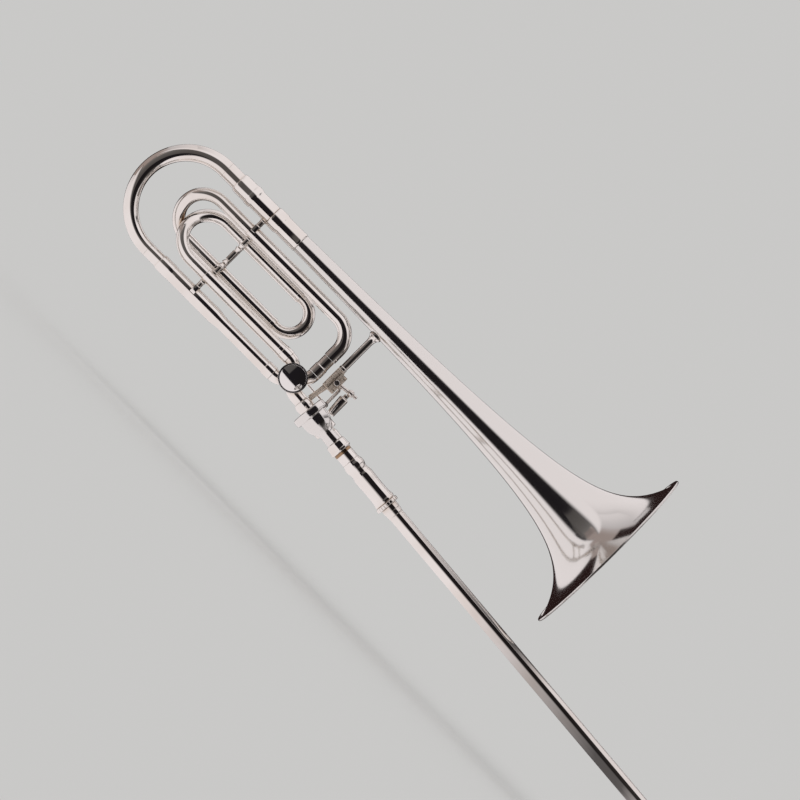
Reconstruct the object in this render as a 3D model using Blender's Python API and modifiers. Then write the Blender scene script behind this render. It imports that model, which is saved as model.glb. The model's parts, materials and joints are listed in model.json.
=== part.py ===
"""Tenor trombone with an F attachment, built as separate pieces.

Metres, +Z up. +X points forward towards the bell mouth, +Y to the player's left.
The origin is the middle of the hand slide's inner brace, where the left hand grips.
Sizes below are in millimetres. Two frames carry the pieces: the bell frame, whose
origin is the rotary valve's axis in the plane of the bell section, and the slide
frame, whose X axis is the slide's own axis, tilted a little below the bell.
"""
import math

import bmesh
import bpy
from mathutils import Vector

MM = 0.001
GAP = 0.3
SIDES = 16
DRUM_SIDES = 24
BEND_SIDES = 12
MERGE = 0.00001

# Frames
SLIDE_TILT = math.radians(4.85)
SLIDE_SPACING = 89.0
VALVE_X = -116.34
VALVE_Z = 19.86
HALF_SPACING = SLIDE_SPACING / 2

# Bell, measured in the bell frame from the valve's axis
BELL_Z = 111.4
BELL_RIM_X = 383.1
BELL_RIM_R = 108.4
BELL_FLARE_LENGTH = 21.5
BELL_FLARE_POWER = 0.72
BELL_TAIL_X = -99.7
BELL_WALL = 0.7
BELL_SPLIT_X = 200.0
STEM_RINGS = 5
FLARE_RINGS = 12
FLARE_GROWTH = 0.27
BELL_SIDES = 32
RIM_LIP_R = 109.1
RIM_LIP_DEPTH = 4.8
RIM_SHEET = 0.6
RIM_WIRE_R = 1.1
RIM_WIRE_RING_R = 107.0
RIM_WIRE_SIDES = 6

# Main tuning slide
MAIN_LOW_Z = -12.6
BOW_X = -215.9
BOW_R = (BELL_Z - MAIN_LOW_Z) / 2
BOW_LEAD = 1.5
BOW_UPPER_R = 10.15
BOW_APEX_R = 8.9
BOW_LOWER_R = 8.25
RECEIVER_START_X = -196.0
RECEIVER_R = 11.5
RECEIVER_MOUTH_R = 12.0
UPPER_RECEIVER_END_X = -143.3
UPPER_LEG_END_X = -120.0
LOWER_LEG_END_X = -112.0
TUBE_WALL = 0.65

# Rotary valve
PORT_R = 7.65
PORT_BORE_R = 6.9
PORT_BEND_R = 12.0
KNUCKLE_CORE = 4.0
NECK_R = 8.35
INLET_JOINT_X = -19.2
INLET_TUBE_X = -98.0
FERRULE_X = -30.0
FERRULE_R = 8.45
CASING_R = 16.2
CASING_BORE_R = 14.9
CASING_HALF = 13.3
ROTOR_R = 14.6
ROTOR_HALF = 10.0
ROTOR_PASSAGE_R = 5.0
SPINDLE_R = 3.0
STOP_ARM_REACH = 10.0
STOP_CORK_REACH = 9.0
STOP_CORK_R = 2.5
STOP_CORK_ANGLES = (194.0, 346.0)

# F attachment tubing
F_BACK_Y = 24.0
F_FRONT_LOW_Z = 12.9
F_FRONT_HIGH_Z = 82.6
F_BACK_LOW_Z = 25.9
F_BACK_HIGH_Z = 69.8
F_OUTER_R = 8.0
F_OUTER_BORE_R = 7.6
F_INNER_R = 7.2
F_INNER_WALL = 0.45
F_OUTER_START_X = -149.9
F_OUTER_END_X = -57.9
F_SMALL_R = 6.75
F_SLIDE_CROOK_X = -192.7
F_FRONT_CROOK_X = -172.9
F_INNER_CROOK_X = -54.4
F_DROP_X = 13.4
F_TOP_BEND_R = 26.2
F_DROP_TOP_Z = 43.7
F_DROP_LOW_Z = 20.0

# Braces of the bell section
BRACE_X = -146.3
MIDDLE_BRACE_X = -144.1
BACK_BRACE_X = -143.0
WAIST_STEPS = 6
HAND_BRACE_X = 31.8
HAND_BRACE_R = 4.1
BRACKET_LOW_Z = 17.9
BRACKET_HIGH_Z = 44.4

# Thumb lever, its pivot and its rod
LEVER_X = 38.1
LEVER_Z = 30.4
LEVER_Y = 16.0
LEVER_END_X = 45.6
LEVER_END_Z = 4.2
BALL_X = 57.1
BALL_Z = 32.9
BALL_R = 4.3
LEVER_BAR_Z = 28.4
LEVER_BAR_R = 1.7
AXLE_R = 2.0
ROD_Y = 22.0
ROD_R = 1.5
ROD_EYE_HALF = 1.6
LEVER_WIRE_R = 0.4
KEY_WIRE_R = 0.3

# Hand slide, stations along the slide axis from the grip
INNER_R = 7.4
INNER_BORE_R = 6.95
INNER_START = -6.3
SHANK_X = -33.6
INNER_END = 720.0
STOCKING_R = 7.5
STOCKING_LENGTH = 120.0
OUTER_R = 8.35
OUTER_BORE_R = 7.8
OUTER_START = 42.0
OUTER_END = 733.0
CROOK_LEG = 16.0
BARREL_START = -6.5
BARREL_END = 57.3
NECK_END = -92.0
WATER_KEY_PIVOT = 739.0
WATER_KEY_SPOUT = 752.0
WATER_KEY_Z = -14.5

FINISHES = {
    "silver": ((0.84, 0.83, 0.81), 0.07, 1.0),
    "brass": ((0.62, 0.45, 0.27), 0.15, 1.0),
    "steel": ((0.55, 0.55, 0.56), 0.25, 1.0),
    "rubber": ((0.03, 0.03, 0.03), 0.60, 0.0),
    "cork": ((0.55, 0.38, 0.22), 0.85, 0.0),
}
TURN = {"X": (0.0, math.pi / 2, 0.0), "Y": (-math.pi / 2, 0.0, 0.0), "Z": (0.0, 0.0, 0.0)}


def clear_scene():
    """Remove every object that the file starts with."""
    for item in list(bpy.data.objects):
        bpy.data.objects.remove(item, do_unlink=True)


def make_collection(name):
    """Add a collection to the scene."""
    group = bpy.data.collections.new(name)
    bpy.context.scene.collection.children.link(group)
    return group


clear_scene()
PARTS = make_collection("tenor_trombone")
CUTTERS = make_collection("cutters")


def make_frame(name, location, tilt):
    """Add the empty that a section of the instrument hangs on."""
    frame = bpy.data.objects.new(name, None)
    frame.location = Vector(location) * MM
    frame.rotation_euler = (0.0, tilt, 0.0)
    PARTS.objects.link(frame)
    return frame


BELL_FRAME = make_frame("bell_frame", (VALVE_X, HALF_SPACING, VALVE_Z), 0.0)
SLIDE_FRAME = make_frame("slide_frame", (0.0, 0.0, 0.0), SLIDE_TILT)


def paint(obj, finish):
    """Give an object a material of its own."""
    colour, roughness, metallic = FINISHES[finish]
    material = bpy.data.materials.new(obj.name + "_" + finish)
    material.use_nodes = True
    shader = material.node_tree.nodes["Principled BSDF"]
    shader.inputs["Base Color"].default_value = (*colour, 1.0)
    shader.inputs["Roughness"].default_value = roughness
    shader.inputs["Metallic"].default_value = metallic
    obj.data.materials.append(material)


def place(obj, frame, origin, axis, finish):
    """Put an object in its frame, as a part with a finish or as a cutter with none."""
    obj.parent = frame
    obj.location = Vector(origin) * MM
    obj.rotation_euler = TURN[axis]
    if finish:
        PARTS.objects.link(obj)
        paint(obj, finish)
    else:
        CUTTERS.objects.link(obj)
        obj.display_type = "WIRE"
        obj.hide_render = True
    return obj


def turned(name, section, frame, origin=(0, 0, 0), axis="X", finish=None, sides=SIDES):
    """Turn a section of (station, radius) points, outer side first, about an axis."""
    points = [(radius * MM, 0.0, station * MM) for station, radius in reversed(section)]
    closed = section[0][1] > 0.0
    edges = [(i, i + 1) for i in range(len(points) - 1)]
    if closed:
        edges.append((len(points) - 1, 0))
    mesh = bpy.data.meshes.new(name)
    mesh.from_pydata(points, edges, [])
    obj = bpy.data.objects.new(name, mesh)
    place(obj, frame, origin, axis, finish)
    screw = obj.modifiers.new("Screw", "SCREW")
    screw.steps = sides
    screw.render_steps = sides
    screw.use_merge_vertices = True
    screw.merge_threshold = MERGE
    screw.use_smooth_shade = False
    return obj


def tube_section(outer, inner):
    """Close the section of a tube from its outer and its inner side, both ascending."""
    return list(outer) + list(reversed(inner))


def plain_tube(start, end, outer_r, inner_r):
    """Give the section of a straight tube."""
    return tube_section([(start, outer_r), (end, outer_r)], [(start, inner_r), (end, inner_r)])


def rod(start, end, radius):
    """Give the section of a plain solid rod."""
    return [(start, 0.0), (start, radius), (end, radius), (end, 0.0)]


def filleted(corners, radii, steps):
    """Round the inner corners of a path and return its points in millimetres."""
    corners = [Vector(c) for c in corners]
    path = [corners[0]]
    for before, corner, after, radius in zip(corners, corners[1:], corners[2:], radii):
        inward = (corner - before).normalized()
        outward = (after - corner).normalized()
        turn = inward.angle(outward)
        side = (outward - inward * math.cos(turn)) / math.sin(turn)
        start = corner - inward * radius * math.tan(turn / 2)
        for step in range(steps + 1):
            angle = turn * step / steps
            along = inward * radius * math.sin(angle)
            path.append(start + along + side * radius * (1.0 - math.cos(angle)))
    path.append(corners[-1])
    tidy = [path[0]]
    for point in path[1:]:
        if (point - tidy[-1]).length > 0.05:
            tidy.append(point)
    return tidy


def curve_object(name, path, radii, sides, caps):
    """Make a poly curve along a path, with a round section of changing radius."""
    data = bpy.data.curves.new(name, "CURVE")
    data.dimensions = "3D"
    data.bevel_depth = radii[0] * MM
    data.bevel_resolution = sides // 2 - 2
    data.use_fill_caps = caps
    data.twist_mode = "MINIMUM"
    spline = data.splines.new("POLY")
    spline.points.add(len(path) - 1)
    for point, place_mm, radius in zip(spline.points, path, radii):
        point.co = (*(place_mm * MM), 1.0)
        point.radius = radius / radii[0]
    return bpy.data.objects.new(name, data)


def bent_tube(name, path, radius, wall, frame, finish, sides=SIDES):
    """Make a hollow tube along a path: an open skin with a wall."""
    radii = radius if isinstance(radius, list) else [radius] * len(path)
    obj = place(curve_object(name, path, radii, sides, False), frame, (0, 0, 0), "Z", finish)
    shell = obj.modifiers.new("Wall", "SOLIDIFY")
    shell.thickness = wall * MM
    shell.offset = -1.0
    return obj


def bent_rod(name, path, radius, frame, finish=None, sides=SIDES):
    """Make a solid round bar along a path as a welded mesh."""
    curve = curve_object(name + "_line", path, [radius] * len(path), sides, True)
    place(curve, frame, (0, 0, 0), "Z", None)
    bpy.context.view_layer.update()
    evaluated = curve.evaluated_get(bpy.context.evaluated_depsgraph_get())
    mesh = bpy.data.meshes.new_from_object(evaluated)
    bpy.data.objects.remove(curve, do_unlink=True)
    skin = bmesh.new()
    skin.from_mesh(mesh)
    bmesh.ops.remove_doubles(skin, verts=skin.verts, dist=MERGE)
    skin.to_mesh(mesh)
    skin.free()
    mesh.materials.clear()
    return place(bpy.data.objects.new(name, mesh), frame, (0, 0, 0), "Z", finish)


def block(name, size, centre, frame, finish=None, bevel=0.0, lean=0.0):
    """Make a box of a size at a centre, leaned about Y, with rounded edges if asked."""
    mesh = bpy.data.meshes.new(name)
    skin = bmesh.new()
    bmesh.ops.create_cube(skin, size=1.0)
    bmesh.ops.scale(skin, vec=Vector(size) * MM, verts=skin.verts)
    skin.to_mesh(mesh)
    skin.free()
    obj = place(bpy.data.objects.new(name, mesh), frame, centre, "Z", finish)
    obj.rotation_euler = (0.0, lean, 0.0)
    if bevel:
        edge = obj.modifiers.new("Rounded", "BEVEL")
        edge.width = bevel * MM
        edge.segments = 2
    return obj


def ball(name, radius, centre, frame):
    """Make a ball as an operand for a joined piece."""
    mesh = bpy.data.meshes.new(name)
    skin = bmesh.new()
    bmesh.ops.create_uvsphere(skin, u_segments=12, v_segments=8, radius=radius * MM)
    skin.to_mesh(mesh)
    skin.free()
    return place(bpy.data.objects.new(name, mesh), frame, centre, "Z", None)


def join(obj, *others):
    """Unite other solids with an object."""
    for other in others:
        step = obj.modifiers.new("Join " + other.name, "BOOLEAN")
        step.operation = "UNION"
        step.object = other
    return obj


def cut(obj, *others):
    """Cut other solids out of an object."""
    for other in others:
        step = obj.modifiers.new("Cut " + other.name, "BOOLEAN")
        step.operation = "DIFFERENCE"
        step.object = other
    return obj


def flare_radius(distance):
    """Give the bell's outer radius at a distance behind its rim."""
    return BELL_RIM_R * (BELL_FLARE_LENGTH / (BELL_FLARE_LENGTH + distance)) ** BELL_FLARE_POWER


def bell_sides(distances):
    """Return the bell's outer and inner sides at distances behind its rim, tail end first."""
    outer = []
    inner = []
    for distance in distances:
        radius = flare_radius(distance)
        slope = math.atan(flare_radius(distance - 0.5) - flare_radius(distance + 0.5))
        station = BELL_RIM_X - distance
        outer.append((station, radius))
        inner.append((station + BELL_WALL * math.sin(slope), radius - BELL_WALL * math.cos(slope)))
    return outer, inner


def build_bell_stem():
    """Build the bell's narrow rear half, with square ends."""
    start = BELL_RIM_X - BELL_TAIL_X
    end = BELL_RIM_X - BELL_SPLIT_X + GAP
    distances = [start + (end - start) * ring / STEM_RINGS for ring in range(STEM_RINGS + 1)]
    outer, inner = bell_sides(distances)
    for side in (0, -1):
        inner[side] = (outer[side][0], inner[side][1])
    turned("bell_stem", tube_section(outer, inner), BELL_FRAME, (0, 0, BELL_Z), "X", "silver")


def build_bell_flare():
    """Build the flare with its rolled lip, and the wire inside the lip."""
    scale = (BELL_RIM_X - BELL_SPLIT_X) / (math.exp(FLARE_GROWTH * FLARE_RINGS) - 1.0)
    rings = range(FLARE_RINGS, 0, -1)
    outer, inner = bell_sides([scale * (math.exp(FLARE_GROWTH * ring) - 1.0) for ring in rings])
    inner[0] = (outer[0][0], inner[0][1])
    back = BELL_RIM_X - RIM_LIP_DEPTH
    lip = [
        (BELL_RIM_X - 1.2, RIM_LIP_R - RIM_SHEET),
        (back + RIM_SHEET, RIM_LIP_R - RIM_SHEET),
        (back + RIM_SHEET, RIM_WIRE_RING_R),
        (back, RIM_WIRE_RING_R),
        (back, RIM_LIP_R),
        (BELL_RIM_X, RIM_LIP_R),
        (BELL_RIM_X, RIM_LIP_R - 2.5),
    ]
    section = outer + lip + list(reversed(inner))
    turned("bell_flare", section, BELL_FRAME, (0, 0, BELL_Z), "X", "silver", BELL_SIDES)
    centre = back + RIM_SHEET + GAP + RIM_WIRE_R
    wire = []
    for step in range(RIM_WIRE_SIDES):
        angle = -math.pi * 2 * (step + 1) / RIM_WIRE_SIDES
        station = centre + RIM_WIRE_R * math.cos(angle)
        wire.append((station, RIM_WIRE_RING_R + RIM_WIRE_R * math.sin(angle)))
    turned("bell_rim_wire", wire, BELL_FRAME, (0, 0, BELL_Z), "X", "brass", BELL_SIDES)


def build_upper_receiver():
    """Build the outer tube that the tuning slide's upper leg enters, and the bell's ferrule."""
    bore = BOW_UPPER_R + GAP
    start = RECEIVER_START_X
    end = UPPER_RECEIVER_END_X
    outer = [(start, RECEIVER_MOUTH_R), (-177.5, RECEIVER_MOUTH_R), (-176.5, 12.7), (-169.5, 12.7)]
    outer += [(-168.0, RECEIVER_R), (end, RECEIVER_R)]
    section = tube_section(outer, [(start, bore), (end, bore)])
    turned("upper_slide_receiver", section, BELL_FRAME, (0, 0, BELL_Z), "X", "silver")
    start = end + GAP
    end = BELL_TAIL_X - GAP
    outer = [(start, 12.65), (-129.0, 12.65), (-129.0, 11.8), (end, 11.8)]
    section = tube_section(outer, [(start, bore), (end, bore)])
    turned("bell_tail_ferrule", section, BELL_FRAME, (0, 0, BELL_Z), "X", "silver")


def build_tuning_slide():
    """Build the tuning bow, which narrows from the bell to the valve, and its two legs."""
    corners = [
        (BOW_X + BOW_LEAD, 0, BELL_Z),
        (BOW_X - BOW_R, 0, BELL_Z),
        (BOW_X - BOW_R, 0, MAIN_LOW_Z),
        (BOW_X + BOW_LEAD, 0, MAIN_LOW_Z),
    ]
    path = filleted(corners, [BOW_R, BOW_R], 7)
    half = (len(path) - 1) / 2
    radii = []
    for index in range(len(path)):
        if index <= half:
            radii.append(BOW_UPPER_R + (BOW_APEX_R - BOW_UPPER_R) * index / half)
        else:
            radii.append(BOW_APEX_R + (BOW_LOWER_R - BOW_APEX_R) * (index - half) / half)
    bent_tube("tuning_bow", path, radii, TUBE_WALL, BELL_FRAME, "silver")
    legs = (
        ("tuning_leg_upper", BELL_Z, BOW_UPPER_R, UPPER_LEG_END_X),
        ("tuning_leg_lower", MAIN_LOW_Z, BOW_LOWER_R, LOWER_LEG_END_X),
    )
    for name, height, radius, end in legs:
        section = plain_tube(BOW_X + BOW_LEAD + GAP, end, radius, radius - TUBE_WALL)
        turned(name, section, BELL_FRAME, (0, 0, height), "X", "silver")


def build_lower_receiver():
    """Build the outer tube of the lower leg, drawn down to the tube that enters the valve."""
    bore = BOW_LOWER_R + GAP
    start = RECEIVER_START_X
    end = INLET_JOINT_X - GAP
    step = LOWER_LEG_END_X + 2 * GAP
    outer = [(start, 9.5), (step, 9.5), (INLET_TUBE_X, PORT_R), (FERRULE_X, PORT_R)]
    outer += [(FERRULE_X, FERRULE_R), (end, FERRULE_R)]
    inner = [(start, bore), (step, bore), (step + 0.4, PORT_BORE_R), (end, PORT_BORE_R)]
    section = tube_section(outer, inner)
    turned("lower_slide_receiver", section, BELL_FRAME, (0, 0, MAIN_LOW_Z), "X", "silver")


def neck_height(x):
    """Give the height of the slide's axis in the bell frame."""
    return -VALVE_Z - (x + VALVE_X) * math.tan(SLIDE_TILT)


def neck_point(station):
    """Give a point of the bell-side slide axis in the bell frame."""
    x = station * math.cos(SLIDE_TILT) - VALVE_X
    return (x, 0.0, -station * math.sin(SLIDE_TILT) - VALVE_Z)


def knuckle_paths():
    """Return the four short bends that leave the valve, each with its radius."""
    low = -MAIN_LOW_Z
    high = F_FRONT_LOW_Z
    drop = F_DROP_X
    core = KNUCKLE_CORE
    slope = math.tan(SLIDE_TILT)
    meet = -neck_height(0.0) / (1.0 - slope)
    return (
        ("inlet", [(-core, 0, -core), (-low, 0, -low), (INLET_JOINT_X, 0, -low)], PORT_R),
        ("outlet", [(core, 0, -core), (meet, 0, -meet), neck_point(NECK_END - GAP)], NECK_R),
        ("f_low", [(-core, 0, core), (-high, 0, high), (INLET_JOINT_X, 0, high)], PORT_R),
        ("f_high", [(core, 0, core), (drop, 0, drop), (drop, 0, F_DROP_LOW_Z - GAP)], PORT_R),
    )


def build_casing():
    """Build the valve casing with its four knuckles, bored through."""
    inner = [(-CASING_HALF, 0.0), (-CASING_HALF, CASING_R), (CASING_HALF, CASING_R), (CASING_HALF, 0.0)]
    casing = turned("valve_casing", inner, BELL_FRAME, (0, 0, 0), "Y", "silver", DRUM_SIDES)
    bores = []
    for name, corners, radius in knuckle_paths():
        path = filleted(corners, [PORT_BEND_R], 3)
        join(casing, bent_rod("knuckle_" + name, path, radius, BELL_FRAME))
        tip = path[-1] + (path[-1] - path[-2]).normalized()
        bore = bent_rod("passage_" + name, path[:-1] + [tip], PORT_BORE_R, BELL_FRAME)
        bores.append(bore)
    room = [(-ROTOR_HALF - GAP, 0.0), (-ROTOR_HALF - GAP, CASING_BORE_R), (CASING_HALF + 1, CASING_BORE_R)]
    room.append((CASING_HALF + 1, 0.0))
    bores.append(turned("casing_room", room, BELL_FRAME, (0, 0, 0), "Y", None, DRUM_SIDES))
    hole = rod(-CASING_HALF - 1, 0.0, SPINDLE_R + GAP)
    bores.append(turned("casing_spindle_hole", hole, BELL_FRAME, (0, 0, 0), "Y"))
    cut(casing, *bores)


def build_rotor():
    """Build the rotor, whose two passages each join a pair of ports."""
    section = [
        (-ROTOR_HALF - 2.6, 0.0),
        (-ROTOR_HALF - 2.6, SPINDLE_R),
        (-ROTOR_HALF, SPINDLE_R),
        (-ROTOR_HALF, ROTOR_R),
        (ROTOR_HALF, ROTOR_R),
        (ROTOR_HALF, SPINDLE_R),
        (18.6, SPINDLE_R),
        (18.6, 0.0),
    ]
    rotor = turned("valve_rotor", section, BELL_FRAME, (0, 0, 0), "Y", "brass", DRUM_SIDES)
    centre = ROTOR_R * math.sqrt(2.0)
    for name, side in (("rotor_passage_low", -1.0), ("rotor_passage_high", 1.0)):
        path = []
        for step in range(9):
            angle = math.radians(-52.0 + 104.0 * step / 8)
            path.append(Vector((ROTOR_R * math.sin(angle), 0, side * (centre - ROTOR_R * math.cos(angle)))))
        cut(rotor, bent_rod(name, path, ROTOR_PASSAGE_R, BELL_FRAME))


def build_valve_ends():
    """Build the bearing plate, the domed cap, the stop plate and its two corks."""
    plate = plain_tube(ROTOR_HALF + GAP, CASING_HALF, ROTOR_R, SPINDLE_R + GAP)
    turned("rotor_bearing_plate", plate, BELL_FRAME, (0, 0, 0), "Y", "silver", DRUM_SIDES)
    front = -CASING_HALF - GAP
    dome = [(front - 6.2, 0.0)]
    for step in range(1, 6):
        angle = math.radians(90.0 - 18.0 * step * 0.94)
        dome.append((front - 2.4 - 3.8 * math.sin(angle), 16.8 * math.cos(angle) ** 0.9))
    dome += [(front - 2.0, 16.8), (front, 16.8), (front, 0.0)]
    turned("valve_cap", dome, BELL_FRAME, (0, 0, 0), "Y", "silver", DRUM_SIDES)
    ring = plain_tube(CASING_HALF + GAP, CASING_HALF + 1.3, 13.5, 5.6)
    turned("stop_plate", ring, BELL_FRAME, (0, 0, 0), "Y", "silver", DRUM_SIDES)
    for name, degrees in zip(("stop_cork_rest", "stop_cork_engaged"), STOP_CORK_ANGLES):
        angle = math.radians(degrees)
        origin = (STOP_CORK_REACH * math.cos(angle), 0, STOP_CORK_REACH * math.sin(angle))
        section = rod(CASING_HALF + 1.6, CASING_HALF + 5.6, STOP_CORK_R)
        turned(name, section, BELL_FRAME, origin, "Y", "cork", 12)


def build_stop_arm():
    """Build the arm on the rotor's back spindle and the screw that holds it."""
    diagonal = STOP_ARM_REACH / math.sqrt(2.0)
    hub = plain_tube(14.9, 18.6, 4.6, SPINDLE_R + GAP)
    arm = turned("stop_arm", hub, BELL_FRAME, (0, 0, 0), "Y", "silver")
    reach = block("stop_arm_reach", (7.0, 2.6, 5.2), (4.9, 16.8, 4.9), BELL_FRAME, lean=-math.pi / 4)
    lug = block("stop_arm_lug", (7.0, 2.8, 4.0), (-5.0, 16.8, -5.0), BELL_FRAME, lean=-math.pi / 4)
    section = rod(15.3, ROD_Y - ROD_EYE_HALF - GAP, 2.6)
    stud = turned("stop_arm_stud", section, BELL_FRAME, (diagonal, 0, diagonal), "Y", None, 12)
    join(arm, reach, lug, stud)
    top = ROD_Y - ROD_R - GAP
    screw = [(18.9, 0.0), (18.9, 4.2), (top - 0.5, 4.2), (top, 3.2), (top, 0.0)]
    turned("stop_arm_screw", screw, BELL_FRAME, (0, 0, 0), "Y", "steel", 12)


def build_f_tubes():
    """Build the F attachment's four straight legs and the drop to the valve."""
    start = F_OUTER_START_X
    end = F_OUTER_END_X
    for name, height in (("f_leg_back_upper", F_BACK_HIGH_Z), ("f_leg_back_lower", F_BACK_LOW_Z)):
        section = plain_tube(start, end, F_OUTER_R, F_OUTER_BORE_R)
        turned(name, section, BELL_FRAME, (0, F_BACK_Y, height), "X", "silver")
    end = INLET_JOINT_X - GAP
    outer = [(start, F_OUTER_R), (FERRULE_X, F_OUTER_R), (FERRULE_X, FERRULE_R), (end, FERRULE_R)]
    inner = [(start, F_OUTER_BORE_R), (-90.0, F_OUTER_BORE_R), (-89.0, PORT_BORE_R), (end, PORT_BORE_R)]
    section = tube_section(outer, inner)
    turned("f_leg_front_lower", section, BELL_FRAME, (0, 0, F_FRONT_LOW_Z), "X", "silver")
    corners = [
        (start, 0, F_FRONT_HIGH_Z),
        (F_DROP_X, 0, F_FRONT_HIGH_Z),
        (F_DROP_X, 0, F_DROP_TOP_Z + GAP),
    ]
    path = filleted(corners, [F_TOP_BEND_R], 6)
    bent_tube("f_leg_front_upper", path, F_OUTER_R, 0.4, BELL_FRAME, "silver")
    outer = [(F_DROP_LOW_Z, 7.9), (31.4, 7.9), (31.4, 7.2), (F_DROP_TOP_Z, 7.2)]
    section = tube_section(outer, [(F_DROP_LOW_Z, 6.7), (F_DROP_TOP_Z, 6.7)])
    turned("f_drop_tube", section, BELL_FRAME, (F_DROP_X, 0, 0), "Z", "silver")


def crook(name, bend_x, leg_end_x, low, high, radius, forward):
    """Build a crook whose legs lie at (y, z) low and high, bending back or forward."""
    reach = math.hypot(high[0] - low[0], high[1] - low[1]) / 2
    tip = bend_x + reach if forward else bend_x - reach
    corners = [(leg_end_x, *low), (tip, *low), (tip, *high), (leg_end_x, *high)]
    path = filleted(corners, [reach, reach], 5)
    bent_tube(name, path, radius, F_INNER_WALL, BELL_FRAME, "silver", BEND_SIDES)


def build_f_crooks():
    """Build the F tuning slide's crook, the fixed front crook and the small inner crook."""
    front_low = (0, F_FRONT_LOW_Z)
    front_high = (0, F_FRONT_HIGH_Z)
    back_low = (F_BACK_Y, F_BACK_LOW_Z)
    back_high = (F_BACK_Y, F_BACK_HIGH_Z)
    crook("f_slide_crook", F_SLIDE_CROOK_X, -92.0, back_low, front_high, F_INNER_R, False)
    crook("f_crook_front", F_FRONT_CROOK_X, -132.0, front_low, back_high, F_INNER_R, False)
    crook("f_crook_inner", F_INNER_CROOK_X, -72.0, back_low, back_high, F_SMALL_R, True)


def waisted(low, high, waist, foot):
    """Give the section of a brace that narrows in the middle."""
    length = high - low
    section = [(low, 0.0)]
    for step in range(WAIST_STEPS + 1):
        share = step / WAIST_STEPS
        blend = abs(2 * share - 1) ** 3
        section.append((low + share * length, waist + (foot - waist) * blend))
    section.append((high, 0.0))
    return section


def brace_between(name, x, y, low, high, waist, foot):
    """Build an upright brace between two tubes, each given as (z, radius)."""
    section = waisted(low[0], high[0], waist, foot)
    brace = turned(name, section, BELL_FRAME, (x, y, 0), "Z", "silver", 12)
    for label, (height, radius) in (("_below", low), ("_above", high)):
        cutter = rod(x - 20.0, x + 20.0, radius + GAP)
        cut(brace, turned(name + label, cutter, BELL_FRAME, (0, y, height), "X"))


def build_braces():
    """Build the four braces that tie the wrap to the main tubes."""
    leg = F_OUTER_R
    low = (F_FRONT_LOW_Z, leg)
    high = (F_FRONT_HIGH_Z, leg)
    brace_between("wrap_brace_upper", BRACE_X, 0, high, (BELL_Z, RECEIVER_R), 3.1, 3.4)
    brace_between("wrap_brace_middle", MIDDLE_BRACE_X, 0, low, high, 3.3, 3.9)
    brace_between("wrap_brace_lower", BRACE_X, 0, (MAIN_LOW_Z, 9.5), low, 3.1, 3.4)
    back = F_BACK_Y
    brace_between("wrap_brace_back", BACK_BRACE_X, back, (F_BACK_LOW_Z, leg), (F_BACK_HIGH_Z, leg), 2.2, 4.6)


def build_hand_brace():
    """Build the tube from the bell to the lever bracket, and the bracket on the neck."""
    section = [
        (BRACKET_HIGH_Z + GAP, 0.0),
        (BRACKET_HIGH_Z + GAP, HAND_BRACE_R),
        (92.0, HAND_BRACE_R),
        (94.0, 5.2),
        (95.5, 7.6),
        (99.5, 7.6),
        (99.5, 0.0),
    ]
    tube = turned("hand_brace_tube", section, BELL_FRAME, (HAND_BRACE_X, 0, 0), "Z", "silver")
    bell = rod(10.0, 60.0, flare_radius(BELL_RIM_X - HAND_BRACE_X) + 3 * GAP)
    cut(tube, turned("bell_clearance", bell, BELL_FRAME, (0, 0, BELL_Z), "X", None, 32))
    middle = (BRACKET_LOW_Z + BRACKET_HIGH_Z) / 2
    height = BRACKET_HIGH_Z - BRACKET_LOW_Z
    size = (15.8, 10.0, height)
    bracket = block("lever_bracket", size, (35.2, 0, middle), BELL_FRAME, "silver", bevel=1.0)
    stem = [(-8.0, 0.0), (-8.0, 4.8), (-1.0, 4.8), (2.0, 3.4), (14.0, 3.4), (19.0, 4.4), (19.0, 0.0)]
    boss = rod(4.0, 8.0, 4.0)
    join(
        bracket,
        turned("bracket_stem", stem, BELL_FRAME, (HAND_BRACE_X, 0, 0), "Z"),
        turned("bracket_boss", boss, BELL_FRAME, (LEVER_X, 0, LEVER_Z), "Y"),
    )
    hole = rod(-9.0, 9.0, AXLE_R + GAP)
    neck = rod(NECK_END - 4.0, NECK_END + 30.0, 10.5 + GAP)
    cut(
        bracket,
        turned("bracket_hole", hole, BELL_FRAME, (LEVER_X, 0, LEVER_Z), "Y"),
        turned("neck_clearance", neck, SLIDE_FRAME, (0, HALF_SPACING, 0), "X", None, 32),
    )


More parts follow.
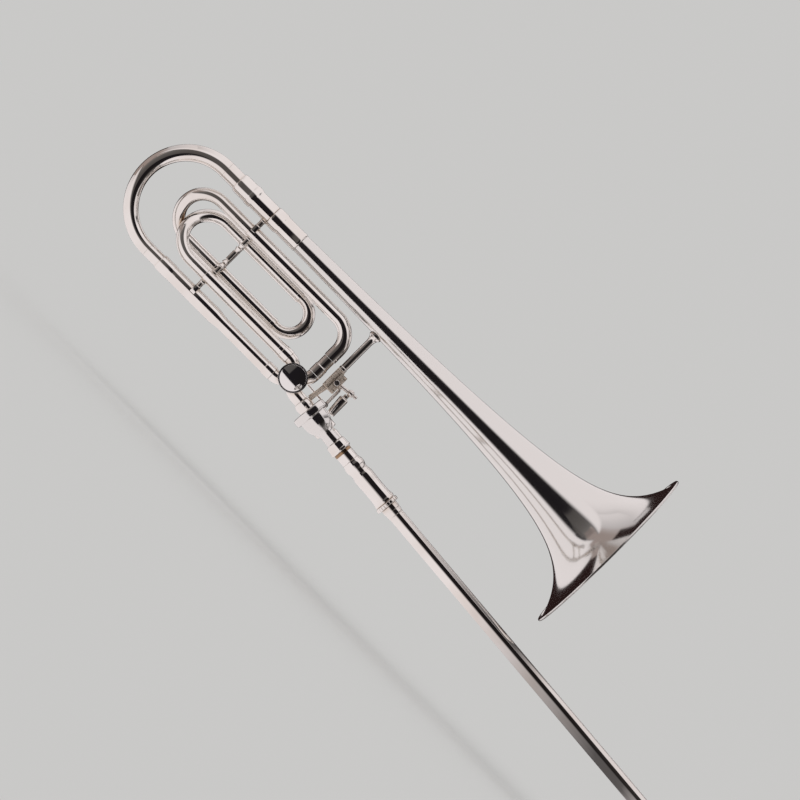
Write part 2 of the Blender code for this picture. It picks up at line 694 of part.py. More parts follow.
def build_lever():
    """Build the thumb lever on its axle, with the ball that carries the touch piece."""
    hub = plain_tube(13.6, 19.2, 4.4, AXLE_R + GAP)
    lever = turned("thumb_lever", hub, BELL_FRAME, (LEVER_X, 0, LEVER_Z), "Y", "silver")
    length = LEVER_END_X - LEVER_X + 0.6
    middle = (LEVER_X + length / 2, LEVER_Y, LEVER_BAR_Z)
    bend = block("lever_bend", (length, 3.0, 3.2), middle, BELL_FRAME)
    section = rod(LEVER_END_Z, LEVER_BAR_Z, LEVER_BAR_R)
    bar = turned("lever_bar", section, BELL_FRAME, (LEVER_END_X, LEVER_Y, 0), "Z", None, 12)
    foot = (LEVER_END_X, 0, LEVER_END_Z)
    eye = turned("lever_eye", rod(14.2, 17.8, 3.2), BELL_FRAME, foot, "Y", None, 12)
    head = ROD_Y + ROD_EYE_HALF + GAP
    stud = [(17.0, 0.0), (17.0, 1.4), (head, 1.4), (head, 2.6), (head + 1.3, 2.6), (head + 1.3, 0.0)]
    pin = turned("lever_stud", stud, BELL_FRAME, foot, "Y", None, 12)
    reach = Vector((BALL_X - LEVER_X, 0, BALL_Z - LEVER_Z))
    centre = Vector((LEVER_X, LEVER_Y, LEVER_Z)) + reach * 0.56
    size = (reach.length * 0.8, 3.6, 4.2)
    arm = block("lever_arm", size, centre, BELL_FRAME, lean=-math.atan2(reach.z, reach.x))
    knob = ball("lever_ball", BALL_R, (BALL_X, LEVER_Y, BALL_Z), BELL_FRAME)
    join(lever, bend, bar, eye, pin, arm, knob)
    bore = rod(13.0, 20.0, AXLE_R + GAP)
    cut(lever, turned("lever_bore", bore, BELL_FRAME, (LEVER_X, 0, LEVER_Z), "Y"))
    screw = rod(BALL_X + BALL_R - 0.8, BALL_X + 8.5, 2.2)
    join(lever, turned("lever_set_screw", screw, BELL_FRAME, (0, LEVER_Y, BALL_Z + 0.4), "X", None, 12))
    axle = [(-7.2, 0.0), (-7.2, 3.0), (-6.6, 3.6), (-5.3, 3.6), (-5.3, AXLE_R), (19.5, AXLE_R)]
    axle += [(19.5, 3.4), (21.2, 3.4), (21.2, 0.0)]
    turned("lever_axle", axle, BELL_FRAME, (LEVER_X, 0, LEVER_Z), "Y", "steel")


def build_touch_piece():
    """Build the tapered touch piece under the lever's ball."""
    section = [(0.4, 0.0), (0.4, 3.6), (1.4, 4.6), (23.0, 5.6), (24.4, 4.6), (24.6, 2.8)]
    section += [(28.6, 2.8), (28.6, 0.0)]
    touch = turned("touch_piece", section, BELL_FRAME, (BALL_X, LEVER_Y, 0), "Z", "silver")
    touch.rotation_euler = (0.0, math.radians(-3.0), 0.0)


def build_rod():
    """Build the linkage rod with an eye at each end."""
    diagonal = STOP_ARM_REACH / math.sqrt(2.0)
    start = Vector((diagonal, ROD_Y, diagonal))
    end = Vector((LEVER_END_X, ROD_Y, LEVER_END_Z))
    along = end - start
    path = [start + along * 0.07, start + along * 0.93]
    link = bent_rod("linkage_rod", path, ROD_R, BELL_FRAME, "silver", 10)
    for name, centre in (("rod_eye_rotor", start), ("rod_eye_lever", end)):
        eye = plain_tube(-ROD_EYE_HALF, ROD_EYE_HALF, 3.4, 2.0)
        join(link, turned(name, eye, BELL_FRAME, centre, "Y", None, 12))


def helix(centre, radius, start, pitch, turns, first_leg, last_leg):
    """Return a torsion spring's path about a Y axis, with a straight leg at each end."""
    steps = int(round(turns * 10))
    path = []
    for step in range(steps + 1):
        angle = math.pi * 2 * step / 10
        offset = Vector((radius * math.cos(angle), start + pitch * step / 10, radius * math.sin(angle)))
        path.append(Vector(centre) + offset)
    lead_in = path[0] + Vector((0, 0, -first_leg))
    angle = math.pi * 2 * steps / 10
    lead_out = path[-1] + Vector((-math.sin(angle), 0, math.cos(angle))) * last_leg
    return [lead_in] + path + [lead_out]


def spring_gap(path, wire_r):
    """Return the least gap between a spring's turns, in millimetres."""
    least = 1000.0
    for i, first in enumerate(path):
        for second in path[i + 8:]:
            least = min(least, (first - second).length - 2 * wire_r)
    return least


def build_springs():
    """Build the lever's and the water key's torsion springs."""
    pivot = (LEVER_X, 0, LEVER_Z)
    path = helix(pivot, 3.6, 8.7, 1.35, 3.0, 6.0, 6.0)
    bent_rod("lever_spring", path, LEVER_WIRE_R, BELL_FRAME, "steel", 6)
    print("lever_spring least gap", round(spring_gap(path, LEVER_WIRE_R), 3))
    pivot = (WATER_KEY_PIVOT, HALF_SPACING, WATER_KEY_Z)
    path = helix(pivot, 3.0, 2.4, 1.2, 2.0, 4.0, 5.4)
    bent_rod("water_key_spring", path, KEY_WIRE_R, SLIDE_FRAME, "steel", 6)
    print("water_key_spring least gap", round(spring_gap(path, KEY_WIRE_R), 3))


def build_neck():
    """Build the bell receiver on the neck, the lock nut and the slide's tenon."""
    origin = (0, HALF_SPACING, 0)
    outer = [(NECK_END, 10.5), (-68.0, 10.5), (-68.0, 9.6), (-60.0, 9.6)]
    inner = [(NECK_END, 7.0), (-88.0, 7.0), (-88.0, 7.9), (-60.0, 8.65)]
    turned("bell_receiver", tube_section(outer, inner), SLIDE_FRAME, origin, "X", "silver", 20)
    outer = [(-67.6, 12.4), (-66.6, 13.2), (-49.0, 13.2), (-48.0, 12.4)]
    inner = [(-67.6, 9.95), (-55.0, 9.95), (-55.0, 8.95), (-48.0, 8.95)]
    turned("bell_lock_nut", tube_section(outer, inner), SLIDE_FRAME, origin, "X", "silver", 20)
    outer = [(-87.0, 7.55), (-59.5, 8.3), (-59.5, 9.6), (-55.4, 9.6), (-55.4, 8.6), (-46.0, 8.6)]
    outer += [(-44.0, 9.8), (-6.8, 9.8)]
    inner = [(-87.0, INNER_BORE_R), (-6.8, INNER_BORE_R)]
    turned("slide_tenon", tube_section(outer, inner), SLIDE_FRAME, origin, "X", "silver", 20)


def build_mouthpiece():
    """Build the mouthpiece with its cup, throat and backbore."""
    outer = [(-79.5, 18.0), (-78.6, 19.5), (-77.4, 20.0), (-71.8, 20.0), (-70.6, 19.3), (-70.4, 16.3)]
    outer += [(-69.0, 15.9), (-63.0, 15.4), (-58.0, 14.3), (-54.0, 12.5), (-50.0, 10.2), (-46.6, 8.9)]
    outer += [(SHANK_X - GAP, 8.7), (SHANK_X - GAP, 6.95), (-8.6, 6.4)]
    inner = [(-79.5, 13.8), (-78.3, 12.9), (-72.0, 12.2), (-64.0, 9.6), (-57.5, 6.0), (-53.5, 3.4)]
    inner += [(-44.0, 3.4), (-8.6, 5.5)]
    origin = (0, -HALF_SPACING, 0)
    turned("mouthpiece", tube_section(outer, inner), SLIDE_FRAME, origin, "X", "silver", DRUM_SIDES)


def build_mouthpipe():
    """Build the mouthpiece receiver, its brass ring and the leadpipe inside."""
    origin = (0, -HALF_SPACING, 0)
    outer = [(SHANK_X, 9.8), (-31.8, 11.3), (-25.0, 11.7), (-23.6, 12.4), (-21.3, 12.1), (-21.3, 9.3)]
    outer += [(-16.9, 9.3), (-16.9, 9.8), (-6.8, 9.8)]
    inner = [(SHANK_X, 7.3), (-6.8, 6.75)]
    section = tube_section(outer, inner)
    turned("mouthpiece_receiver", section, SLIDE_FRAME, origin, "X", "silver", 20)
    ring = plain_tube(-21.0, -17.2, 10.3, 9.6)
    turned("receiver_brass_ring", ring, SLIDE_FRAME, origin, "X", "brass", 20)
    outer = [(-5.0, 6.6), (175.0, 6.6)]
    inner = [(-5.0, 5.75), (40.0, 6.0), (175.0, 6.25)]
    turned("leadpipe", tube_section(outer, inner), SLIDE_FRAME, origin, "X", "brass")


def build_slide_side(label, y):
    """Build one side of the hand slide: barrel, cork, inner tube and outer tube."""
    origin = (0, y, 0)
    outer = [(BARREL_START, 10.4), (-4.0, 11.4), (3.5, 11.4), (5.5, 9.8), (10.5, 9.8), (12.0, 11.1)]
    outer += [(47.5, 10.9), (49.0, 12.2), (52.0, 12.2), (52.0, 9.9), (BARREL_END, 9.9)]
    inner = [(BARREL_START, INNER_R + GAP), (33.0, INNER_R + GAP), (33.0, 9.0), (BARREL_END, 9.0)]
    name = "cork_barrel_" + label
    turned(name, tube_section(outer, inner), SLIDE_FRAME, origin, "X", "silver")
    cork = plain_tube(33.3, 41.6, 8.7, INNER_R + GAP)
    turned("barrel_cork_" + label, cork, SLIDE_FRAME, origin, "X", "cork")
    stocking = INNER_END - STOCKING_LENGTH
    outer = [(INNER_START, INNER_R), (stocking, INNER_R), (stocking + 2.0, STOCKING_R)]
    outer.append((INNER_END, STOCKING_R))
    inner = [(INNER_START, INNER_BORE_R), (INNER_END, INNER_BORE_R)]
    turned("inner_tube_" + label, tube_section(outer, inner), SLIDE_FRAME, origin, "X", "silver")
    outer = [(OUTER_START, OUTER_R), (57.6, OUTER_R), (57.6, 9.5), (64.0, 9.5), (65.0, 9.0), (69.5, 9.0)]
    outer += [(70.0, OUTER_R), (722.0, OUTER_R), (723.0, 9.0), (OUTER_END, 9.0)]
    inner = [(OUTER_START, OUTER_BORE_R), (OUTER_END, OUTER_BORE_R)]
    turned("outer_tube_" + label, tube_section(outer, inner), SLIDE_FRAME, origin, "X", "silver")


def cross_brace(name, station, tube_r, rod_r, foot_r):
    """Build a brace between the two sides of the hand slide."""
    near = -HALF_SPACING
    section = [(near, 0.0), (near, foot_r), (near + tube_r + 2.5, foot_r), (near + tube_r + 3.5, rod_r)]
    section += [(-section_station, radius) for section_station, radius in reversed(section)]
    brace = turned(name, section, SLIDE_FRAME, (station, 0, 0), "Y", "silver")
    tube = rod(station - 20.0, station + 20.0, tube_r + GAP)
    for label, y in (("_near", -HALF_SPACING), ("_far", HALF_SPACING)):
        cut(brace, turned(name + label, tube, SLIDE_FRAME, (0, y, 0), "X"))


def build_lock_ring():
    """Build the ring that locks the hand slide on the mouthpiece side."""
    outer = [(52.3, 12.6), (53.4, 13.7), (56.0, 13.7), (57.0, 12.8)]
    inner = [(52.3, 10.2), (57.0, 10.2)]
    origin = (0, -HALF_SPACING, 0)
    turned("slide_lock_ring", tube_section(outer, inner), SLIDE_FRAME, origin, "X", "silver", 20)


def build_end_crook():
    """Build the slide's end crook with its water key spout, lugs and bumper socket."""
    start = OUTER_END + GAP
    tip = OUTER_END + CROOK_LEG + HALF_SPACING
    low = HALF_SPACING
    corners = [(start, -low, 0), (tip, -low, 0), (tip, low, 0), (start, low, 0)]
    path = filleted(corners, [low, low], 6)
    shell = bent_rod("end_crook", path, OUTER_R, SLIDE_FRAME, "silver")
    spout = [(WATER_KEY_Z + 2.2, 0.0), (WATER_KEY_Z + 2.2, 3.4), (-8.8, 3.8), (-6.8, 5.4), (-5.0, 5.4)]
    spout.append((-5.0, 0.0))
    join(shell, turned("spout_wall", spout, SLIDE_FRAME, (WATER_KEY_SPOUT, low, 0), "Z", None, 12))
    for label, y in (("near", low - 6.4), ("far", low + 6.4)):
        size = (5.0, 1.6, 12.0)
        lug = block("key_lug_" + label, size, (WATER_KEY_PIVOT, y, WATER_KEY_Z + 3.2), SLIDE_FRAME)
        join(shell, lug)
    socket = [(tip + 4.0, 0.0), (tip + 4.0, 6.4), (tip + 11.5, 6.4), (tip + 11.5, 8.2), (tip + 14.0, 8.2)]
    socket.append((tip + 14.0, 0.0))
    join(shell, turned("bumper_socket", socket, SLIDE_FRAME, (0, 0, 0), "X"))
    inner = [path[0] - Vector((2, 0, 0))] + path + [path[-1] - Vector((2, 0, 0))]
    bore = bent_rod("end_crook_bore", inner, OUTER_BORE_R - 0.2, SLIDE_FRAME)
    hole = rod(WATER_KEY_Z + 1.0, -3.0, 1.8)
    cut(shell, bore, turned("spout_bore", hole, SLIDE_FRAME, (WATER_KEY_SPOUT, low, 0), "Z", None, 12))
    base = tip + 14.0 + GAP
    bumper = [(base, 0.0), (base, 8.4), (base + 7.0, 8.4), (base + 10.0, 6.8), (base + 11.2, 4.6)]
    bumper.append((base + 11.2, 0.0))
    turned("rubber_bumper", bumper, SLIDE_FRAME, (0, 0, 0), "X", "rubber")


def build_water_key():
    """Build the water key's lever and the pad that closes the spout."""
    low = HALF_SPACING
    pivot = (WATER_KEY_PIVOT, low, WATER_KEY_Z)
    lever = turned("water_key_lever", rod(-5.2, 5.2, 1.7), SLIDE_FRAME, pivot, "Y", "silver", 12)
    arm = block("key_arm", (13.0, 4.0, 1.6), (745.0, low, WATER_KEY_Z - 1.6), SLIDE_FRAME)
    cup = rod(WATER_KEY_Z - 2.6, WATER_KEY_Z - 0.6, 4.4)
    cup = turned("key_cup", cup, SLIDE_FRAME, (WATER_KEY_SPOUT, low, 0), "Z", None, 12)
    tail = block("key_tail", (20.0, 4.0, 1.6), (729.0, low, WATER_KEY_Z - 2.4), SLIDE_FRAME, lean=-0.08)
    paddle = block("key_paddle", (12.0, 9.0, 1.6), (714.5, low, WATER_KEY_Z - 3.4), SLIDE_FRAME, lean=-0.08)
    join(lever, arm, cup, tail, paddle)
    pad = rod(WATER_KEY_Z - 0.3, WATER_KEY_Z + 1.9, 3.8)
    turned("water_key_pad", pad, SLIDE_FRAME, (WATER_KEY_SPOUT, low, 0), "Z", "cork", 12)


def build_all():
    """Build the whole instrument, bell section first."""
    build_bell_stem()
    build_bell_flare()
    build_upper_receiver()
    build_tuning_slide()
    build_lower_receiver()
    build_casing()
    build_rotor()
    build_valve_ends()
    build_stop_arm()
    build_f_tubes()
    build_f_crooks()
    build_braces()
    build_hand_brace()
    build_lever()
    build_touch_piece()
    build_rod()
    build_springs()
    build_neck()
    build_mouthpiece()
    build_mouthpipe()
    build_slide_side("upper", -HALF_SPACING)
    build_slide_side("lower", HALF_SPACING)
    cross_brace("inner_brace", 0.0, 11.4, 4.6, 7.5)
    cross_brace("outer_brace", 66.8, 9.5, 4.6, 7.0)
    build_lock_ring()
    build_end_crook()
    build_water_key()


build_all()
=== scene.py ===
"""A polished tenor trombone with an F attachment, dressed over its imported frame.

Sizes are in millimetres on one of two benches: the bell bench, whose origin is the
rotor's axis in the plane of the bell section, and the slide bench, whose X axis is the
hand slide's own axis. Both are read from the frame's joints.
"""
import json
import logging
import math
from dataclasses import dataclass
from enum import Enum
from typing import List, Sequence, Tuple

import bpy
from bpy.types import Material, Node, NodeSocket, NodeTree, Object
from mathutils import Matrix, Vector

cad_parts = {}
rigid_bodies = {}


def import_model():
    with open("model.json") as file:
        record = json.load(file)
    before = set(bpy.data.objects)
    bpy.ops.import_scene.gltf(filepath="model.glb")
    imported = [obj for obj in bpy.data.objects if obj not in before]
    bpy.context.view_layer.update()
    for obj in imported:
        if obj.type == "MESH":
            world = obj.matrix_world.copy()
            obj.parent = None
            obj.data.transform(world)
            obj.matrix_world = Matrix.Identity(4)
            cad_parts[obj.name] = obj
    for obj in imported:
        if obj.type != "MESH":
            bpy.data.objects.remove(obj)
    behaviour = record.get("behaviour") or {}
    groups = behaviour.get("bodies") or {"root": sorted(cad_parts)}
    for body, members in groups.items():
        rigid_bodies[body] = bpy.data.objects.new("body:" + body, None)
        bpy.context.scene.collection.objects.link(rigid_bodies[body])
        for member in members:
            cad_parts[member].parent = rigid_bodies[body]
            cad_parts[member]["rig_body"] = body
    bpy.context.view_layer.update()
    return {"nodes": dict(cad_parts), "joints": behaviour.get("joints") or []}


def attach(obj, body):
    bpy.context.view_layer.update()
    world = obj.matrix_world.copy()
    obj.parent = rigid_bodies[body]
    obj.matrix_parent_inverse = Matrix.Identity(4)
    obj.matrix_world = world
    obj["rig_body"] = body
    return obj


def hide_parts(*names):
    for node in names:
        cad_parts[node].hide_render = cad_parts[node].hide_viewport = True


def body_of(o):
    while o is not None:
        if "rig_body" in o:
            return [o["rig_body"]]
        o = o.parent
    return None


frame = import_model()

MM = 0.001
SLIVER = 1e-6  # metres
LONG_ROW = 12  # more solids than this are joined before a boolean
LOG = logging.getLogger("trombone")

Point = Tuple[float, float]
Place = Tuple[float, float, float]
Section = List[Point]


def joint(name: str) -> dict:
    """Return one of the frame's joints by its name."""
    return next(entry for entry in frame["joints"] if entry["name"] == name)


class Axis(Enum):
    """Which way the axis of a turned piece points on its bench."""

    ALONG = "Y"
    ACROSS = "X"
    UP = "Z"

    def matrix(self) -> Matrix:
        """Return the turn that brings the lathe's Z axis to this one."""
        if self is Axis.ALONG:
            return Matrix.Rotation(math.pi / 2, 4, "Y")
        if self is Axis.ACROSS:
            return Matrix.Rotation(-math.pi / 2, 4, "X")
        return Matrix.Identity(4)


def leave_edit_mode() -> None:
    """Go back to object mode with nothing selected."""
    if bpy.context.object and bpy.context.object.mode != "OBJECT":
        bpy.ops.object.mode_set(mode="OBJECT")
    bpy.ops.object.select_all(action="DESELECT")


def apply_place(piece: Object, matrix: Matrix) -> None:
    """Set a piece down with a matrix and put its place into its mesh."""
    leave_edit_mode()
    piece.matrix_world = matrix @ piece.matrix_world
    piece.select_set(True)
    bpy.context.view_layer.objects.active = piece
    bpy.ops.object.transform_apply(location=True, rotation=True, scale=True)


def apply_modifier(piece: Object, modifier: bpy.types.Modifier) -> None:
    """Apply one modifier of a piece."""
    leave_edit_mode()
    piece.select_set(True)
    bpy.context.view_layer.objects.active = piece
    bpy.ops.object.modifier_apply(modifier=modifier.name)


def mend(piece: Object) -> None:
    """Merge the slivers of a cut, which are thinner than a thousandth of a millimetre."""
    leave_edit_mode()
    piece.select_set(True)
    bpy.context.view_layer.objects.active = piece
    bpy.ops.object.mode_set(mode="EDIT")
    bpy.ops.mesh.select_mode(type="VERT")
    bpy.ops.mesh.select_all(action="SELECT")
    bpy.ops.mesh.remove_doubles(threshold=SLIVER)
    bpy.ops.mesh.dissolve_degenerate(threshold=SLIVER)
    bpy.ops.object.mode_set(mode="OBJECT")


def joined(row: Sequence[Object]) -> Object:
    """Join a row of solids that stand clear of each other into one object."""
    leave_edit_mode()
    for solid in row:
        solid.select_set(True)
    bpy.context.view_layer.objects.active = row[0]
    bpy.ops.object.join()
    return row[0]


def boolean(piece: Object, others: Sequence[Object], operation: str) -> Object:
    """Unite others with a piece or cut them out of it, and remove them.

    A long row of notches or ribs is joined first and acts in one step.

    Args:
        piece: the solid that stays.
        others: the solids that act on it.
        operation: UNION or DIFFERENCE.

    Returns:
        The piece.
    """
    for other in [joined(others)] if len(others) > LONG_ROW else others:
        step = piece.modifiers.new(operation.title(), "BOOLEAN")
        step.operation = operation
        step.solver = "EXACT"
        step.object = other
        apply_modifier(piece, step)
        bpy.data.objects.remove(other, do_unlink=True)
    mend(piece)
    return piece


def weld(piece: Object, *others: Object) -> Object:
    """Unite other solids with a piece."""
    return boolean(piece, others, "UNION")


def carve(piece: Object, *cutters: Object) -> Object:
    """Cut other solids out of a piece."""
    return boolean(piece, cutters, "DIFFERENCE")


def soften(piece: Object, width: float, segments: int = 3) -> Object:
    """Round the sharp edges of a piece by a width in millimetres."""
    edge = piece.modifiers.new("Rounded", "BEVEL")
    edge.width = width * MM
    edge.segments = segments
    edge.limit_method = "ANGLE"
    edge.angle_limit = math.radians(40)
    apply_modifier(piece, edge)
    return piece


def eased(section: Section, ease: float, closed: bool) -> Section:
    """Round the corners of a section and hold the straights beside them.

    Args:
        section: (station, radius) corners in millimetres.
        ease: length of each straight that a rounding takes up.
        closed: True where the last corner joins the first.

    Returns:
        The rounded section.
    """
    corners = [Vector(corner) for corner in section]
    count = len(corners)
    result: Section = []
    for index, corner in enumerate(corners):
        inner = closed or 0 < index < count - 1
        before = corners[index - 1] - corner
        after = corners[(index + 1) % count] - corner
        bend = math.pi - before.angle(after) if inner else 0.0
        if bend < math.radians(24):
            result.append(tuple(corner))
            continue
        reach = min(ease, 0.42 * before.length, 0.42 * after.length)
        if before.length > 8 * reach:
            result.append(tuple(corner + before.normalized() * reach * 2.5))
        for share in (0.0, 0.34, 0.66, 1.0):
            first = corner + before.normalized() * reach * (1 - share)
            second = corner + after.normalized() * reach * share
            result.append(tuple(first.lerp(second, share)))
        if after.length > 8 * reach:
            result.append(tuple(corner + after.normalized() * reach * 2.5))
    return result


def curve_through(points: Sequence[Point], steps: int = 5) -> Section:
    """Draw a smooth curve through points of a section, with some steps between them."""
    line = [Vector(point) for point in points]
    ends = [line[0] * 2 - line[1]] + line + [line[-1] * 2 - line[-2]]
    result: Section = []
    for a, b, c, d in zip(ends, ends[1:], ends[2:], ends[3:]):
        for step in range(steps):
            t = step / steps
            spot = b * 2 + (c - a) * t + (a * 2 - b * 5 + c * 4 - d) * t**2
            spot += (b * 3 - a - c * 3 + d) * t**3
            result.append(tuple(spot / 2))
    result.append(tuple(line[-1]))
    return result


def shell_section(outer: Section, inner: Section) -> Section:
    """Close a tube's section from its outer and its inner side, both in one direction."""
    return list(outer) + list(reversed(inner))


def straight_shell(start: float, end: float, outer: float, bore: float) -> Section:
    """Return the section of a plain straight tube."""
    return shell_section([(start, outer), (end, outer)], [(start, bore), (end, bore)])


def bar(start: float, end: float, radius: float) -> Section:
    """Return the section of a plain solid bar."""
    return [(start, 0.0), (start, radius), (end, radius), (end, 0.0)]


@dataclass(frozen=True)
class Bench:
    """A section's own frame, in millimetres from its origin.

    Attributes:
        origin: the bench's origin in the row frame, in metres.
        tilt: how far its X axis dips below the row's X axis, in radians.
    """

    origin: Place
    tilt: float = 0.0

    def matrix(self) -> Matrix:
        """Return the bench's place in the row frame."""
        return Matrix.Translation(self.origin) @ Matrix.Rotation(self.tilt, 4, "Y")

    def turn(
        self,
        name: str,
        section: Section,
        origin: Place = (0, 0, 0),
        axis: Axis = Axis.ALONG,
        sides: int = 96,
        ease: float = 0.25,
        lean: float = 0.0,
    ) -> Object:
        """Turn a section on the lathe and set the piece on the bench.

        Args:
            name: name of the piece.
            section: (station, radius) corners; a tube's ring closes by itself.
            origin: where the lathe's origin goes on the bench.
            axis: which way the piece's axis points.
            sides: facets round the axis.
            ease: rounding of its edges.
            lean: a further turn about Y, in radians.

        Returns:
            The finished mesh object.
        """
        closed = section[0][1] > 0
        line = eased(section, ease, closed) if ease else list(section)
        if closed:
            line.append(line[0])
        leave_edit_mode()
        bpy.ops.mesh.primitive_circle_add(vertices=3, radius=MM)
        piece = bpy.context.object
        piece.name = name
        bpy.ops.object.mode_set(mode="EDIT")
        bpy.ops.mesh.select_mode(type="VERT")
        bpy.ops.mesh.select_all(action="SELECT")
        bpy.ops.mesh.merge(type="CENTER")
        bpy.ops.transform.translate(value=(line[0][1] * MM, 0, line[0][0] * MM))
        for (station, radius), (next_station, next_radius) in zip(line, line[1:]):
            step = ((next_radius - radius) * MM, 0, (next_station - station) * MM)
            bpy.ops.mesh.extrude_vertices_move(TRANSFORM_OT_translate={"value": step})
        bpy.ops.mesh.select_all(action="SELECT")
        bpy.ops.mesh.spin(steps=sides, angle=math.tau, center=(0, 0, 0), axis=(0, 0, 1))
        bpy.ops.mesh.select_all(action="SELECT")
        bpy.ops.mesh.remove_doubles(threshold=2e-6)
        bpy.ops.mesh.normals_make_consistent(inside=False)
        shift = Matrix.Translation(Vector(origin) * MM) @ Matrix.Rotation(lean, 4, "Y")
        apply_place(piece, self.matrix() @ shift @ axis.matrix())
        return piece

    def pipe(
        self,
        name: str,
        corners: Sequence[Place],
        bends: Sequence[float],
        radii: Sequence[float],
        wall: float = 0.0,
        sides: int = 80,
    ) -> Object:
        """Draw a round pipe ring by ring through corners, as on a bending mandrel.

        Args:
            name: name of the piece.
            corners: the corners of its centre line.
            bends: the bending radius at each corner between the ends.
            radii: its outer radius at even shares of its length, or one for all of it.
            wall: its wall thickness; a pipe with none is a solid bar.
            sides: facets round it.

        Returns:
            The finished mesh object.
        """
        line = [Vector(corner) for corner in corners]
        along = (line[1] - line[0]).normalized()
        leave_edit_mode()
        bpy.ops.mesh.primitive_circle_add(
            vertices=sides,
            radius=radii[0] * MM,
            location=line[0] * MM,
            rotation=along.to_track_quat("Z", "Y").to_euler(),
        )
        piece = bpy.context.object
        piece.name = name
        bpy.ops.object.transform_apply(location=True, rotation=True, scale=True)
        bpy.ops.object.mode_set(mode="EDIT")
        bpy.ops.mesh.select_mode(type="EDGE")
        bpy.ops.mesh.select_all(action="SELECT")
        moves = self.moves(line, bends)
        total = sum(length for length, *_ in moves)
        travelled, width = 0.0, radii[0]
        for length, shift, angle, centre, axis, middle in moves:
            if angle:
                bpy.ops.mesh.spin(steps=1, angle=-angle, center=centre * MM, axis=axis)
            else:
                step = {"value": shift * MM}
                bpy.ops.mesh.extrude_region_move(TRANSFORM_OT_translate=step)
            travelled += length
            goal = self.width_at(radii, travelled / total)
            if abs(goal - width) > 1e-4:
                scale = (goal / width,) * 3
                bpy.ops.transform.resize(value=scale, center_override=middle * MM)
                width = goal
        bpy.ops.mesh.select_all(action="SELECT")
        if not wall:
            bpy.ops.mesh.fill_holes(sides=0)
        bpy.ops.mesh.select_all(action="SELECT")
        bpy.ops.mesh.normals_make_consistent(inside=False)
        leave_edit_mode()
        if wall:
            skin = piece.modifiers.new("Wall", "SOLIDIFY")
            skin.thickness = wall * MM
            skin.offset = -1.0
            apply_modifier(piece, skin)
        apply_place(piece, self.matrix())
        return piece

    @staticmethod
    def width_at(radii: Sequence[float], share: float) -> float:
        """Return a pipe's radius at a share of its length."""
        spans = len(radii) - 1
        if not spans:
            return radii[0]
        index = min(int(share * spans), spans - 1)
        blend = share * spans - index
        return radii[index] * (1 - blend) + radii[index + 1] * blend

    @staticmethod
    def moves(line: Sequence[Vector], bends: Sequence[float]) -> List[tuple]:
        """List the straight and turning moves of a pipe.

        Args:
            line: the corners of its centre line.
            bends: the bending radius at each inner corner.

        Returns:
            Length, shift, angle, centre, axis and end of each move.
        """
        result: List[tuple] = []
        spot = line[0]
        along = (line[1] - line[0]).normalized()
        for corner, after, bend in zip(line[1:], line[2:], bends):
            outward = (after - corner).normalized()
            turn = along.angle(outward)
            reach = bend * math.tan(turn / 2)
            start = corner - along * reach
            if (start - spot).length > 0.02:
                result.append(((start - spot).length, start - spot, 0.0, None, None, start))
            axis = along.cross(outward).normalized()
            centre = start + axis.cross(along) * bend
            steps = max(2, round(math.degrees(turn) / 4))
            for step in range(1, steps + 1):
                swing = Matrix.Rotation(turn * step / steps, 3, axis)
                spot = centre + swing @ (start - centre)
                result.append((bend * turn / steps, None, turn / steps, centre, axis, spot))
            along = outward
        rest = line[-1] - spot
        result.append((rest.length, rest, 0.0, None, None, line[-1]))
        return result

    def block(
        self, name: str, size: Place, centre: Place, ease: float = 0.5, lean: float = 0.0
    ) -> Object:
        """Make a block with rounded edges.

        Args:
            name: name of the piece.
            size: its three lengths.
            centre: its middle on the bench.
            ease: width of the rounding.
            lean: a turn about Y, in radians.

        Returns:
            The finished mesh object.
        """
        leave_edit_mode()
        bpy.ops.mesh.primitive_cube_add(size=1.0)
        piece = bpy.context.object
        piece.name = name
        piece.scale = Vector(size) * MM
        turn = Matrix.Translation(Vector(centre) * MM) @ Matrix.Rotation(lean, 4, "Y")
        bpy.ops.object.transform_apply(location=False, rotation=False, scale=True)
        if ease:
            soften(piece, ease)
        apply_place(piece, self.matrix() @ turn)
        return piece

    def ball(self, name: str, radius: float, centre: Place) -> Object:
        """Make a ball that another piece takes in."""
        leave_edit_mode()
        bpy.ops.mesh.primitive_uv_sphere_add(segments=32, ring_count=20, radius=radius * MM)
        piece = bpy.context.object
        piece.name = name
        apply_place(piece, self.matrix() @ Matrix.Translation(Vector(centre) * MM))
        return piece


SLIDE_AXIS = joint("hand_slide_move")["axis"]
BELL_BENCH = Bench(tuple(joint("rotor_turn")["pos_m"]))
SLIDE_BENCH = Bench((0.0, 0.0, 0.0), math.atan2(-SLIDE_AXIS[2], SLIDE_AXIS[0]))
SIDE = BELL_BENCH.origin[1] / MM


class Grain(Enum):
    """How the last polish or cut runs over a surface, as noise stretch along X, Y and Z."""

    ALONG = (0.08, 1.0, 1.0)
    ROUND = (1.0, 0.25, 0.25)
    NONE = (1.0, 1.0, 1.0)


